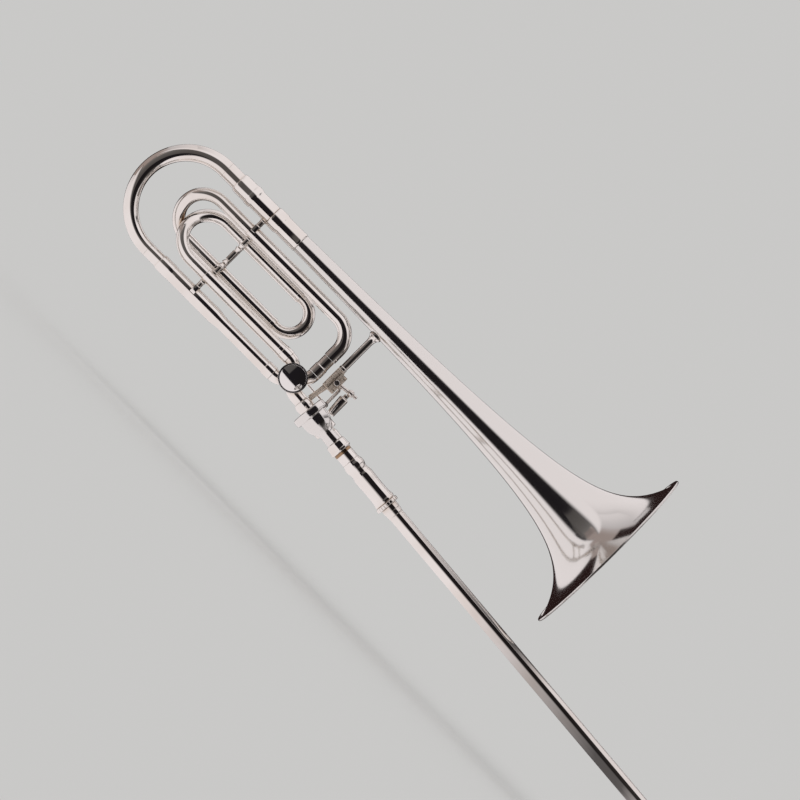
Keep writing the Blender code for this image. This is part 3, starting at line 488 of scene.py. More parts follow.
class NodeDesk:
    """Lays out the nodes of one material."""

    def __init__(self, material: Material) -> None:
        """Clear a material and give it a Principled shader.

        Args:
            material: the material to lay out.
        """
        material.use_nodes = True
        self.tree: NodeTree = material.node_tree
        self.shader: Node = self.tree.nodes["Principled BSDF"]
        self.coords: NodeSocket = self.node("ShaderNodeTexCoord").outputs["Object"]

    def node(self, kind: str) -> Node:
        """Add a node."""
        return self.tree.nodes.new(kind)

    def link(self, source: NodeSocket, target: NodeSocket) -> None:
        """Join two sockets."""
        self.tree.links.new(source, target)

    def noise(self, scale: float, detail: float, stretch: Place = (1, 1, 1)) -> NodeSocket:
        """Add stretched noise on the piece's own coordinates.

        Args:
            scale: features per metre.
            detail: number of finer octaves.
            stretch: factor on each axis.

        Returns:
            The noise value.
        """
        mapping = self.node("ShaderNodeMapping")
        mapping.inputs["Scale"].default_value = stretch
        self.link(self.coords, mapping.inputs["Vector"])
        noise = self.node("ShaderNodeTexNoise")
        noise.inputs["Scale"].default_value = scale
        noise.inputs["Detail"].default_value = detail
        self.link(mapping.outputs["Vector"], noise.inputs["Vector"])
        return noise.outputs["Fac"]

    def spread(self, value: NodeSocket, low: float, high: float, to: Point) -> NodeSocket:
        """Stretch a value from low and high to a new range."""
        ramp = self.node("ShaderNodeMapRange")
        ramp.inputs["From Min"].default_value = low
        ramp.inputs["From Max"].default_value = high
        ramp.inputs["To Min"].default_value = to[0]
        ramp.inputs["To Max"].default_value = to[1]
        self.link(value, ramp.inputs["Value"])
        return ramp.outputs["Result"]

    def blend(self, factor: NodeSocket, first, second) -> NodeSocket:
        """Mix two colours, each given as a socket or as three numbers."""
        mix = self.node("ShaderNodeMix")
        mix.data_type = "RGBA"
        self.link(factor, mix.inputs["Factor"])
        for name, colour in (("A", first), ("B", second)):
            socket = next(s for s in mix.inputs if s.name == name and s.type == "RGBA")
            if isinstance(colour, NodeSocket):
                self.link(colour, socket)
            else:
                socket.default_value = (*colour, 1.0)
        return next(s for s in mix.outputs if s.type == "RGBA")

    def hollows(self, reach: float) -> NodeSocket:
        """Return how deep in a corner, a crevice or a gap beside another part a spot lies, from 0 to 1,
        as the mask of painted shade.
        """
        light = self.node("ShaderNodeAmbientOcclusion")
        light.samples = 4
        light.inputs["Distance"].default_value = reach * MM
        return self.spread(light.outputs["AO"], 0.35, 0.95, (1.0, 0.0))

    def bump(self, height: NodeSocket, strength: float, depth: float) -> None:
        """Raise the surface by a height map of a depth in millimetres."""
        bump = self.node("ShaderNodeBump")
        bump.inputs["Strength"].default_value = strength
        bump.inputs["Distance"].default_value = depth * MM
        self.link(height, bump.inputs["Height"])
        self.link(bump.outputs["Normal"], self.shader.inputs["Normal"])


@dataclass(frozen=True)
class Metal:
    """A metal finish: its colour, its tarnish, the shade painted into its hollows and its polish."""

    name: str
    colour: Place
    # Colour of the random tarnish clouds, and also of the shade painted into hollows and into gaps
    # beside other parts.
    tarnish: Place
    gloss: Point
    grain: Grain = Grain.NONE
    scratch: float = 0.01
    patina: float = 0.35
    cut: float = 600.0
    metallic: float = 1.0

    def material(self) -> Material:
        """Return the finish's material, made on first use."""
        found = bpy.data.materials.get(self.name)
        if found:
            return found
        material = bpy.data.materials.new(self.name)
        desk = NodeDesk(material)
        desk.shader.inputs["Metallic"].default_value = self.metallic
        clouds = desk.spread(desk.noise(22, 5), 0.42, 0.78, (0.0, self.patina))
        worn = desk.blend(clouds, self.colour, self.tarnish)
        # Painted shade: corners, crevices and gaps beside other parts are darkened towards the tarnish
        # colour, as if shade fell there.
        colour = desk.blend(desk.hollows(7.0), worn, self.tarnish)
        desk.link(colour, desk.shader.inputs["Base Color"])
        smears = desk.spread(desk.noise(140, 6, self.grain.value), 0.3, 0.72, self.gloss)
        desk.link(smears, desk.shader.inputs["Roughness"])
        desk.bump(desk.noise(self.cut, 3, self.grain.value), self.scratch, 0.01)
        return material


@dataclass(frozen=True)
class Cork:
    """Cut cork: pale cells with darker pits."""

    name: str = "cut_cork"

    def material(self) -> Material:
        """Return the cork material, made on first use."""
        found = bpy.data.materials.get(self.name)
        if found:
            return found
        material = bpy.data.materials.new(self.name)
        desk = NodeDesk(material)
        grains = desk.spread(desk.noise(1500, 6), 0.35, 0.65, (0.0, 1.0))
        colour = desk.blend(grains, (0.34, 0.2, 0.1), (0.66, 0.47, 0.28))
        desk.link(colour, desk.shader.inputs["Base Color"])
        desk.link(desk.spread(grains, 0.0, 1.0, (0.92, 0.78)), desk.shader.inputs["Roughness"])
        desk.bump(grains, 0.5, 0.15)
        return material


@dataclass(frozen=True)
class Rubber:
    """Matt black rubber with a faint bloom."""

    name: str = "black_rubber"

    def material(self) -> Material:
        """Return the rubber material, made on first use."""
        found = bpy.data.materials.get(self.name)
        if found:
            return found
        material = bpy.data.materials.new(self.name)
        desk = NodeDesk(material)
        bloom = desk.spread(desk.noise(300, 5), 0.4, 0.75, (0.0, 1.0))
        colour = desk.blend(bloom, (0.018, 0.018, 0.019), (0.06, 0.058, 0.055))
        desk.link(colour, desk.shader.inputs["Base Color"])
        desk.link(desk.spread(bloom, 0.0, 1.0, (0.5, 0.72)), desk.shader.inputs["Roughness"])
        desk.bump(desk.noise(2600, 3), 0.15, 0.05)
        return material


SILVER = Metal("silver_plate", (0.93, 0.912, 0.885), (0.66, 0.56, 0.46), (0.012, 0.04))
TUBE_SILVER = Metal(
    "silver_tube", (0.925, 0.905, 0.875), (0.6, 0.49, 0.39), (0.02, 0.06), Grain.ALONG
)
TURNED_SILVER = Metal(
    "turned_silver", (0.93, 0.912, 0.885), (0.62, 0.52, 0.42), (0.02, 0.06), Grain.ROUND
)
# Painted shade: the near-black second colour darkens the knurl cuts and hollows round the cap; its
# tarnish clouds are almost nil.
CAP_SILVER = Metal(
    "cap_silver", (0.9, 0.895, 0.89), (0.1, 0.09, 0.085), (0.03, 0.06), patina=0.02
)
CAST_SILVER = Metal(
    "cast_silver",
    (0.74, 0.64, 0.55),
    (0.3, 0.24, 0.19),
    (0.34, 0.48),
    scratch=0.6,
    patina=0.3,
    cut=2400,
    metallic=0.7,
)
SATIN_SILVER = Metal("satin_silver", (0.93, 0.91, 0.885), (0.5, 0.41, 0.33), (0.16, 0.26))
SLIDE_CHROME = Metal(
    "slide_chrome", (0.86, 0.87, 0.885), (0.7, 0.69, 0.67), (0.02, 0.05), Grain.ALONG, 0.01, 0.2
)
BRASS = Metal("raw_brass", (0.78, 0.57, 0.29), (0.4, 0.24, 0.1), (0.14, 0.3), Grain.ROUND)
RING_BRASS = Metal("ring_brass", (0.42, 0.28, 0.17), (0.22, 0.13, 0.07), (0.2, 0.36), Grain.ROUND)
STEEL = Metal("bright_steel", (0.62, 0.62, 0.63), (0.36, 0.33, 0.3), (0.16, 0.3), Grain.ROUND)
CORK = Cork()
RUBBER = Rubber()


def dress(piece: Object, finish, *nodes: str) -> None:
    """Shade a piece, give it its finish and let it stand for its CAD nodes.

    Args:
        piece: the finished mesh.
        finish: a finish with a material.
        nodes: the CAD nodes that it replaces; it rides with the first.
    """
    leave_edit_mode()
    piece.select_set(True)
    bpy.context.view_layer.objects.active = piece
    bpy.ops.object.shade_smooth_by_angle(angle=math.radians(36))
    piece.data.materials.clear()
    piece.data.materials.append(finish.material())
    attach(piece, body_of(frame["nodes"][nodes[0]])[0])
    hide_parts(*nodes)
    LOG.info("%s stands for %s", piece.name, ", ".join(nodes))


def redress(finish, *nodes: str) -> None:
    """Give CAD nodes that keep their own shape a finish."""
    for name in nodes:
        slots = frame["nodes"][name].data.materials
        slots.clear()
        slots.append(finish.material())
        LOG.info("%s keeps its shape", name)


@dataclass
class Bell:
    """The bell: a long stem that flares to a rolled rim, with a ferrule on its tail."""

    height: float = 111.4
    rim_x: float = 383.1
    rim_radius: float = 108.4
    flare_length: float = 21.5
    flare_power: float = 0.72
    tail_x: float = -99.7
    wall: float = 0.6
    bead: float = 1.4
    wire: float = 0.6
    rings: int = 64
    growth: float = 0.07

    def radius(self, behind: float) -> float:
        """Return the outer radius at a distance behind the rim."""
        share = self.flare_length / (self.flare_length + behind)
        return self.rim_radius * share**self.flare_power

    def sides(self) -> Tuple[Section, Section]:
        """Return the outer and the inner side, from the tail to the bead."""
        length = self.rim_x - self.tail_x
        scale = length / (math.exp(self.growth * self.rings) - 1)
        outer: Section = []
        inner: Section = []
        for ring in range(self.rings, 2, -1):
            behind = scale * (math.exp(self.growth * ring) - 1)
            here = self.radius(behind)
            slope = math.atan(self.radius(behind - 0.5) - self.radius(behind + 0.5))
            station = self.rim_x - behind
            outer.append((station, here))
            inward = (math.sin(slope) * self.wall, math.cos(slope) * self.wall)
            inner.append((station + inward[0], here - inward[1]))
        inner[0] = (outer[0][0], inner[0][1])
        return outer, inner

    @staticmethod
    def arc(centre: Point, radius: float, start: float, end: float) -> Section:
        """Return an arc of a section between two angles in degrees."""
        angles = [math.radians(start + (end - start) * step / 14) for step in range(15)]
        x, y = centre
        return [(x + radius * math.cos(turn), y + radius * math.sin(turn)) for turn in angles]

    def build(self) -> None:
        """Build the bell, the wire in its rim and the ferrule on its tail."""
        outer, inner = self.sides()
        centre = (self.rim_x - self.bead, self.rim_radius + 0.7 - self.bead)
        roll = self.arc(centre, self.bead, -100, -360)
        line = outer + roll + list(reversed(inner))
        origin = (0, 0, self.height)
        bell = BELL_BENCH.turn("bell", line, origin, sides=144, ease=0)
        dress(bell, SILVER, "bell_flare", "bell_stem")
        line = self.arc(centre, self.wire, 0, -336)
        wire = BELL_BENCH.turn("rim_wire", line, origin, sides=144, ease=0)
        dress(wire, BRASS, "bell_rim_wire")
        line = [(-143.0, 11.9), (-141.5, 12.65), (-130.5, 12.65), (-129.0, 12.1)]
        line += [(-127.5, 11.8), (-104.0, 11.8), (-102.5, 12.1), (-101.2, 12.0), (-100.0, 11.3)]
        line += [(-100.0, 10.45), (-143.0, 10.45)]
        ferrule = BELL_BENCH.turn("bell_ferrule", line, origin, ease=0.6)
        dress(ferrule, TURNED_SILVER, "bell_tail_ferrule")


@dataclass
class TuningSlide:
    """The main tuning slide and the two outer tubes that it draws out of."""

    upper_z: float = 111.4
    lower_z: float = -12.6
    bow_x: float = -214.4
    radii: Tuple[float, float, float] = (10.15, 8.9, 8.25)
    wall: float = 0.6
    mouth_x: float = -196.0
    upper_end_x: float = -143.3
    step_x: float = -111.4
    ferrule_x: float = -30.0
    valve_x: float = -19.5

    def build(self) -> None:
        """Build the bow, its legs and both receivers."""
        reach = (self.upper_z - self.lower_z) / 2
        back = -215.9 - reach
        corners = [
            (self.bow_x, 0, self.upper_z),
            (back, 0, self.upper_z),
            (back, 0, self.lower_z),
            (self.bow_x, 0, self.lower_z),
        ]
        bow = BELL_BENCH.pipe("bow", corners, [reach, reach], self.radii, self.wall, 96)
        dress(bow, TUBE_SILVER, "tuning_bow")
        legs = (("upper", self.upper_z, 0, -120.0), ("lower", self.lower_z, 2, -112.0))
        for label, height, end, stop in legs:
            radius = self.radii[end]
            line = straight_shell(self.bow_x + 0.05, stop, radius, radius - self.wall)
            leg = BELL_BENCH.turn("slide_leg_" + label, line, (0, 0, height))
            dress(leg, TUBE_SILVER, "tuning_leg_" + label)
        self.build_receivers()

    def build_receivers(self) -> None:
        """Build the outer tubes, with a bead at each mouth."""
        mouth = self.mouth_x
        bore = self.radii[0] + 0.15
        line = curve_through([(mouth, 11.0), (-195.0, 11.6), (-193.0, 12.0), (-188.0, 12.0)], 3)
        line += curve_through([(-179.0, 12.0), (-177.4, 12.2), (-175.8, 12.7), (-171.0, 12.7)], 3)
        line += curve_through([(-170.0, 12.5), (-168.2, 11.8), (-166.2, 11.5)], 3)
        line += [(self.upper_end_x, 11.5)]
        line += [(self.upper_end_x, bore), (mouth, bore)]
        upper = BELL_BENCH.turn("upper_outer_tube", line, (0, 0, self.upper_z), ease=0.7)
        dress(upper, TUBE_SILVER, "upper_slide_receiver")
        bore = self.radii[2] + 0.15
        line = curve_through([(mouth, 8.7), (-195.0, 9.1), (-193.0, 9.4), (-190.0, 9.4)], 3)
        line += curve_through([(-180.0, 9.4), (-178.6, 9.3), (-177.6, 9.05), (-175.0, 9.05)], 3)
        line += curve_through([(-142.0, 9.05), (-140.0, 9.2), (-112.0, 9.2)], 3)
        line += curve_through([(-109.0, 9.1), (-105.0, 8.5), (-100.0, 7.9), (-96.5, 7.65)], 3)
        line += curve_through([(self.ferrule_x - 1.5, 7.65), (self.ferrule_x, 8.45)], 2)
        line += [(self.valve_x, 8.45), (self.valve_x, 6.9)]
        line += [(self.step_x + 1, 6.9), (self.step_x, bore), (mouth, bore)]
        lower = BELL_BENCH.turn("lower_outer_tube", line, (0, 0, self.lower_z), ease=0.4)
        dress(lower, TUBE_SILVER, "lower_slide_receiver")


@dataclass
class Valve:
    """The rotary valve: casing, knuckles, cap and the stop on its far side."""

    casing_radius: float = 16.2
    bore: float = 14.9
    half: float = 13.3
    cap_radius: float = 16.8
    cap_height: float = 6.2
    dome_ball: float = 54.0
    dome_radius: float = 14.7
    cap_cuts: int = 60
    port: float = 7.65
    port_bore: float = 6.9
    neck_port: float = 8.35
    port_bend: float = 12.0
    joint_x: float = -19.2
    core: float = 4.0
    inlet: float = 12.6
    f_low: float = 12.9
    f_high: float = 13.4
    f_high_end: float = 19.7
    neck_end: float = -92.3
    stop_reach: float = 10.0

    def ports(self) -> Tuple[tuple, ...]:
        """Return the corners and the radius of the four short bends."""
        core, low, drop = self.core, self.f_low, self.f_high
        x, _, z = (value / MM for value in BELL_BENCH.origin)
        slope = math.tan(SLIDE_BENCH.tilt)
        meet = (z + x * slope) / (1 - slope)
        end = BELL_BENCH.matrix().inverted() @ SLIDE_BENCH.matrix()
        end = end @ Vector((self.neck_end * MM, SIDE * MM, 0)) / MM
        bent = self.inlet
        return (
            ([(-core, 0, -core), (-bent, 0, -bent), (self.joint_x, 0, -bent)], self.port),
            ([(core, 0, -core), (meet, 0, -meet), tuple(end)], self.neck_port),
            ([(-core, 0, core), (-low, 0, low), (self.joint_x, 0, low)], self.port),
            ([(core, 0, core), (drop, 0, drop), (drop, 0, self.f_high_end)], self.port),
        )

    def build_casing(self) -> None:
        """Build the drum with its knuckles and bore it through."""
        half, radius = self.half, self.casing_radius
        line = [(-half, 0), (-half, radius), (-half + 2.2, radius), (-half + 2.6, radius - 0.4)]
        line += [(half - 2.6, radius - 0.4), (half - 2.2, radius), (half, radius), (half, 0)]
        casing = BELL_BENCH.turn("valve_body", line, axis=Axis.ACROSS, sides=72, ease=0.2)
        knuckles, bores = [], []
        for index, (corners, port) in enumerate(self.ports()):
            bend = [self.port_bend]
            knuckles.append(BELL_BENCH.pipe(f"knuckle_{index}", corners, bend, [port], 0, 40))
            last, before = Vector(corners[-1]), Vector(corners[-2])
            longer = corners[:-1] + [tuple(last + (last - before).normalized())]
            bore = [self.port_bore]
            bores.append(BELL_BENCH.pipe(f"passage_{index}", longer, bend, bore, 0, 32))
        room = [(-10.3, 0), (-10.3, self.bore), (half + 1, self.bore), (half + 1, 0)]
        bores.append(BELL_BENCH.turn("rotor_room", room, axis=Axis.ACROSS, ease=0))
        hole = bar(-half - 1, 0, 3.3)
        bores.append(BELL_BENCH.turn("spindle_hole", hole, axis=Axis.ACROSS, ease=0))
        carve(weld(casing, *knuckles), *bores)
        dress(casing, TURNED_SILVER, "valve_casing")

    def build_ends(self) -> None:
        """Build the domed cap, the stop plate and its corks."""
        front, rim = -self.half - 0.3, self.cap_radius
        dome: Section = []
        for step in range(15):
            angle = math.asin(self.dome_radius / self.dome_ball) * step / 14
            height = self.cap_height - self.dome_ball * (1 - math.cos(angle))
            dome.append((front - height, self.dome_ball * math.sin(angle)))
        edge = dome[-1][0]
        dome += [(edge + 0.9, self.dome_radius + 0.2), (edge + 0.5, self.dome_radius + 0.5)]
        dome += [(edge + 0.55, rim - 0.3), (edge + 1.2, rim), (front, rim), (front, 0)]
        cap = BELL_BENCH.turn("valve_dome", dome, axis=Axis.ACROSS, sides=96, ease=0.15)
        cuts = []
        for index in range(self.cap_cuts):
            angle = math.tau * index / self.cap_cuts
            origin = (rim * math.cos(angle), 0, rim * math.sin(angle))
            line = bar(edge + 0.2, front - 0.5, 0.55)
            cuts.append(BELL_BENCH.turn("cut", line, origin, Axis.ACROSS, 10, 0))
        dress(carve(cap, *cuts), CAP_SILVER, "valve_cap")
        line = shell_section([(13.6, 13.5), (14.6, 13.5)], [(13.6, 5.6), (14.6, 5.6)])
        plate = BELL_BENCH.turn("stop_disc", line, axis=Axis.ACROSS, sides=72)
        dress(plate, TURNED_SILVER, "stop_plate")
        redress(BRASS, "valve_rotor")
        redress(TURNED_SILVER, "rotor_bearing_plate")
        for node, degrees in (("stop_cork_rest", 194.0), ("stop_cork_engaged", 346.0)):
            angle = math.radians(degrees)
            origin = (9.0 * math.cos(angle), 0, 9.0 * math.sin(angle))
            line = bar(14.9, 18.9, 2.5)
            cork = BELL_BENCH.turn(node + "_pad", line, origin, Axis.ACROSS, 28, 0.4)
            dress(cork, CORK, node)

    def build_arm(self) -> None:
        """Build the arm that the rod turns, and its screw with a slot."""
        turned_45 = -math.pi / 4
        eye = self.stop_reach / math.sqrt(2)
        hub = shell_section([(14.9, 4.6), (18.6, 4.6)], [(14.9, 3.3), (18.6, 3.3)])
        arm = BELL_BENCH.turn("rotor_arm", hub, axis=Axis.ACROSS, sides=40)
        reach = BELL_BENCH.block("reach", (7.0, 2.6, 5.2), (4.9, 16.8, 4.9), 0.5, turned_45)
        lug = BELL_BENCH.block("lug", (7.0, 2.8, 4.0), (-5.0, 16.8, -5.0), 0.5, turned_45)
        stud = BELL_BENCH.turn("stud", bar(15.3, 20.1, 2.6), (eye, 0, eye), Axis.ACROSS, 32)
        dress(weld(arm, reach, lug, stud), TURNED_SILVER, "stop_arm")
        line = [(18.9, 0), (18.9, 4.2), (19.7, 4.2), (20.2, 3.2), (20.2, 0)]
        screw = BELL_BENCH.turn("rotor_screw", line, axis=Axis.ACROSS, sides=40)
        slot = BELL_BENCH.block("slot", (9.0, 1.2, 0.9), (0, 20.3, 0), 0)
        dress(carve(screw, slot), STEEL, "stop_arm_screw")

    def build(self) -> None:
        """Build the whole valve."""
        self.build_casing()
        self.build_ends()
        self.build_arm()


@dataclass
class FAttachment:
    """The closed wrap of the F attachment and the braces that hold it."""

    back_y: float = 24.0
    front_low: float = 12.9
    front_high: float = 82.6
    back_low: float = 25.9
    back_high: float = 69.8
    leg: float = 8.0
    inner: float = 7.2
    small: float = 6.75
    wall: float = 0.42
    start_x: float = -149.9
    end_x: float = -57.9
    drop_x: float = 13.4
    brace_x: float = -146.3
    middle_x: float = -144.1
    back_brace_x: float = -143.0
    bell_tube: float = 11.5
    lower_tube: float = 9.2
    saddle: float = 0.7

    def leg_section(self, end: float) -> Section:
        """Return a leg's section, with a ferrule at its mouth."""
        start, leg = self.start_x, self.leg
        outer = [(start, leg - 0.3), (start + 0.5, leg), (start + 4.5, leg)]
        outer += [(start + 5.0, leg - 0.25), (end - 5.0, leg - 0.25), (end - 4.5, leg), (end, leg)]
        return shell_section(outer, [(start, leg - 0.45), (end, leg - 0.45)])

    def build_legs(self) -> None:
        """Build the straight legs, the leg that bends down and the drop to the valve."""
        for node, height in (("f_leg_back_upper", self.back_high), ("f_leg_back_lower", self.back_low)):
            line = self.leg_section(self.end_x)
            leg = BELL_BENCH.turn(node + "_tube", line, (0, self.back_y, height), ease=0.15)
            dress(leg, TUBE_SILVER, node)
        line = self.leg_section(-30.0)[:7] + [(-29.5, 8.45), (-19.5, 8.45), (-19.5, 6.9)]
        line += [(-89.0, 6.9), (-90.0, self.leg - 0.45), (self.start_x, self.leg - 0.45)]
        leg = BELL_BENCH.turn("f_leg_to_valve", line, (0, 0, self.front_low), ease=0.15)
        dress(leg, TUBE_SILVER, "f_leg_front_lower")
        high, drop = self.front_high, self.drop_x
        corners = [(self.start_x, 0, high), (drop, 0, high), (drop, 0, 44.0)]
        leg = BELL_BENCH.pipe("f_leg_bent", corners, [26.2], [self.leg], 0.4)
        dress(leg, TUBE_SILVER, "f_leg_front_upper")
        line = [(20.0, 7.9), (30.6, 7.9), (31.4, 7.5), (32.2, 7.25), (43.7, 7.25), (43.7, 6.7)]
        drop_tube = BELL_BENCH.turn("f_drop", line + [(20.0, 6.7)], (drop, 0, 0), Axis.UP)
        dress(drop_tube, TUBE_SILVER, "f_drop_tube")

    def crook(self, node: str, bend_x: float, end_x: float, ends: tuple, radius: float) -> None:
        """Build a crook between two legs.

        Args:
            node: the CAD node that it stands for.
            bend_x: where its bend starts.
            end_x: where its legs end.
            ends: the (y, z) of its lower and upper leg.
            radius: its outer radius.
        """
        low, high = ends
        reach = math.hypot(high[0] - low[0], high[1] - low[1]) / 2
        tip = bend_x + math.copysign(reach, bend_x - end_x)
        corners = [(end_x, *low), (tip, *low), (tip, *high), (end_x, *high)]
        piece = BELL_BENCH.pipe(node + "_tube", corners, [reach, reach], [radius], self.wall)
        dress(piece, TUBE_SILVER, node)

    def brace(self, node: str, x: float, y: float, low: Point, high: Point, waist: float) -> None:
        """Build an upright brace with saddled feet between two tubes.

        Args:
            node: the CAD node that it stands for.
            x: its place along the tubes.
            y: its place across them.
            low: height and radius of the lower tube.
            high: height and radius of the upper tube.
            waist: its radius in the middle.
        """
        foot = waist + 0.35
        bottom, top = low[0] + low[1], high[0] - high[1]
        line = [(low[0], 0), (low[0], foot), (bottom + 1.0, foot), (bottom + 1.6, waist)]
        line += [(top - 1.6, waist), (top - 1.0, foot), (high[0], foot), (high[0], 0)]
        long = top - bottom > 40
        if long:
            middle = (bottom + top) / 2
            half = [(6.3, 2.9), (6.6, 1.8), (11.4, 3.8), (11.7, 1.8), (16.6, 3.9), (17.2, 2.7)]
            half += [(top - middle - 1.2, 2.7), (top - middle - 0.9, foot), (high[0] - middle, foot)]
            line = [(low[0], 0)] + [(middle - offset, radius) for offset, radius in reversed(half)]
            line += [(middle + offset, radius) for offset, radius in half] + [(high[0], 0)]
        piece = BELL_BENCH.turn(node + "_rod", line, (x, y, 0), Axis.UP, 48, 0.4)
        if not long:
            size = (2 * waist, 2 * (low[1] + self.saddle), low[1] + self.saddle)
            place = (x, y, low[0] + 0.3 + size[2] / 2)
            weld(piece, BELL_BENCH.block("saddle_block", size, place, 0.6))
        for height, radius in (low, high):
            cutter = bar(x - 12, x + 12, radius + 0.02)
            carve(piece, BELL_BENCH.turn("saddle", cutter, (0, y, height), ease=0))
        dress(piece, TURNED_SILVER, node)

    def build(self) -> None:
        """Build the legs, the crooks and the braces."""
        self.build_legs()
        front_low, front_high = (0, self.front_low), (0, self.front_high)
        back_low, back_high = (self.back_y, self.back_low), (self.back_y, self.back_high)
        self.crook("f_slide_crook", -192.7, -92.0, (back_low, front_high), self.inner)
        self.crook("f_crook_front", -172.9, -132.0, (front_low, back_high), self.inner)
        self.crook("f_crook_inner", -54.4, -72.0, (back_low, back_high), self.small)
        low, high = (self.front_low, self.leg), (self.front_high, self.leg)
        bell, main = (111.4, self.bell_tube), (-12.6, self.lower_tube)
        self.brace("wrap_brace_upper", self.brace_x, 0, high, bell, 3.1)
        self.brace("wrap_brace_middle", self.middle_x, 0, low, high, 3.3)
        self.brace("wrap_brace_lower", self.brace_x, 0, main, low, 3.1)
        back = ((self.back_low, self.leg), (self.back_high, self.leg))
        self.brace("wrap_brace_back", self.back_brace_x, self.back_y, *back, 2.2)


@dataclass
class Spring:
    """A torsion spring wound about an axis across the instrument."""

    centre: Place
    radius: float
    wire: float
    pitch: float
    turns: float
    first_leg: float
    last_leg: float
    steps: int = 24

    def wind(self, bench: Bench, name: str) -> Object:
        """Wind the spring ring by ring, with a straight leg at each end.

        Args:
            bench: the bench that its sizes are on.
            name: name of the piece.

        Returns:
            The finished mesh object.
        """
        axis = Vector((0, 1, 0))
        start = Vector(self.centre) + Vector((self.radius, 0, -self.first_leg))
        leave_edit_mode()
        bpy.ops.mesh.primitive_circle_add(vertices=12, radius=self.wire * MM, location=start * MM)
        piece = bpy.context.object
        piece.name = name
        bpy.ops.object.transform_apply(location=True, rotation=True, scale=True)
        bpy.ops.object.mode_set(mode="EDIT")
        bpy.ops.mesh.select_mode(type="EDGE")
        bpy.ops.mesh.select_all(action="SELECT")
        lead = {"value": (0, 0, self.first_leg * MM)}
        bpy.ops.mesh.extrude_region_move(TRANSFORM_OT_translate=lead)
        swing = math.tau / self.steps
        rise = (0, self.pitch / self.steps * MM, 0)
        count = round(self.turns * self.steps)
        for _ in range(count):
            hub = Vector(self.centre) * MM
            bpy.ops.mesh.spin(steps=1, angle=swing, center=hub, axis=axis)
            bpy.ops.transform.translate(value=rise)
        angle = swing * count
        along = Vector((-math.sin(angle), 0, math.cos(angle))) * self.last_leg * MM
        bpy.ops.mesh.extrude_region_move(TRANSFORM_OT_translate={"value": along})
        bpy.ops.mesh.select_all(action="SELECT")
        bpy.ops.mesh.fill_holes(sides=0)
        bpy.ops.mesh.select_all(action="SELECT")
        bpy.ops.mesh.normals_make_consistent(inside=False)
        apply_place(piece, bench.matrix())
        return piece


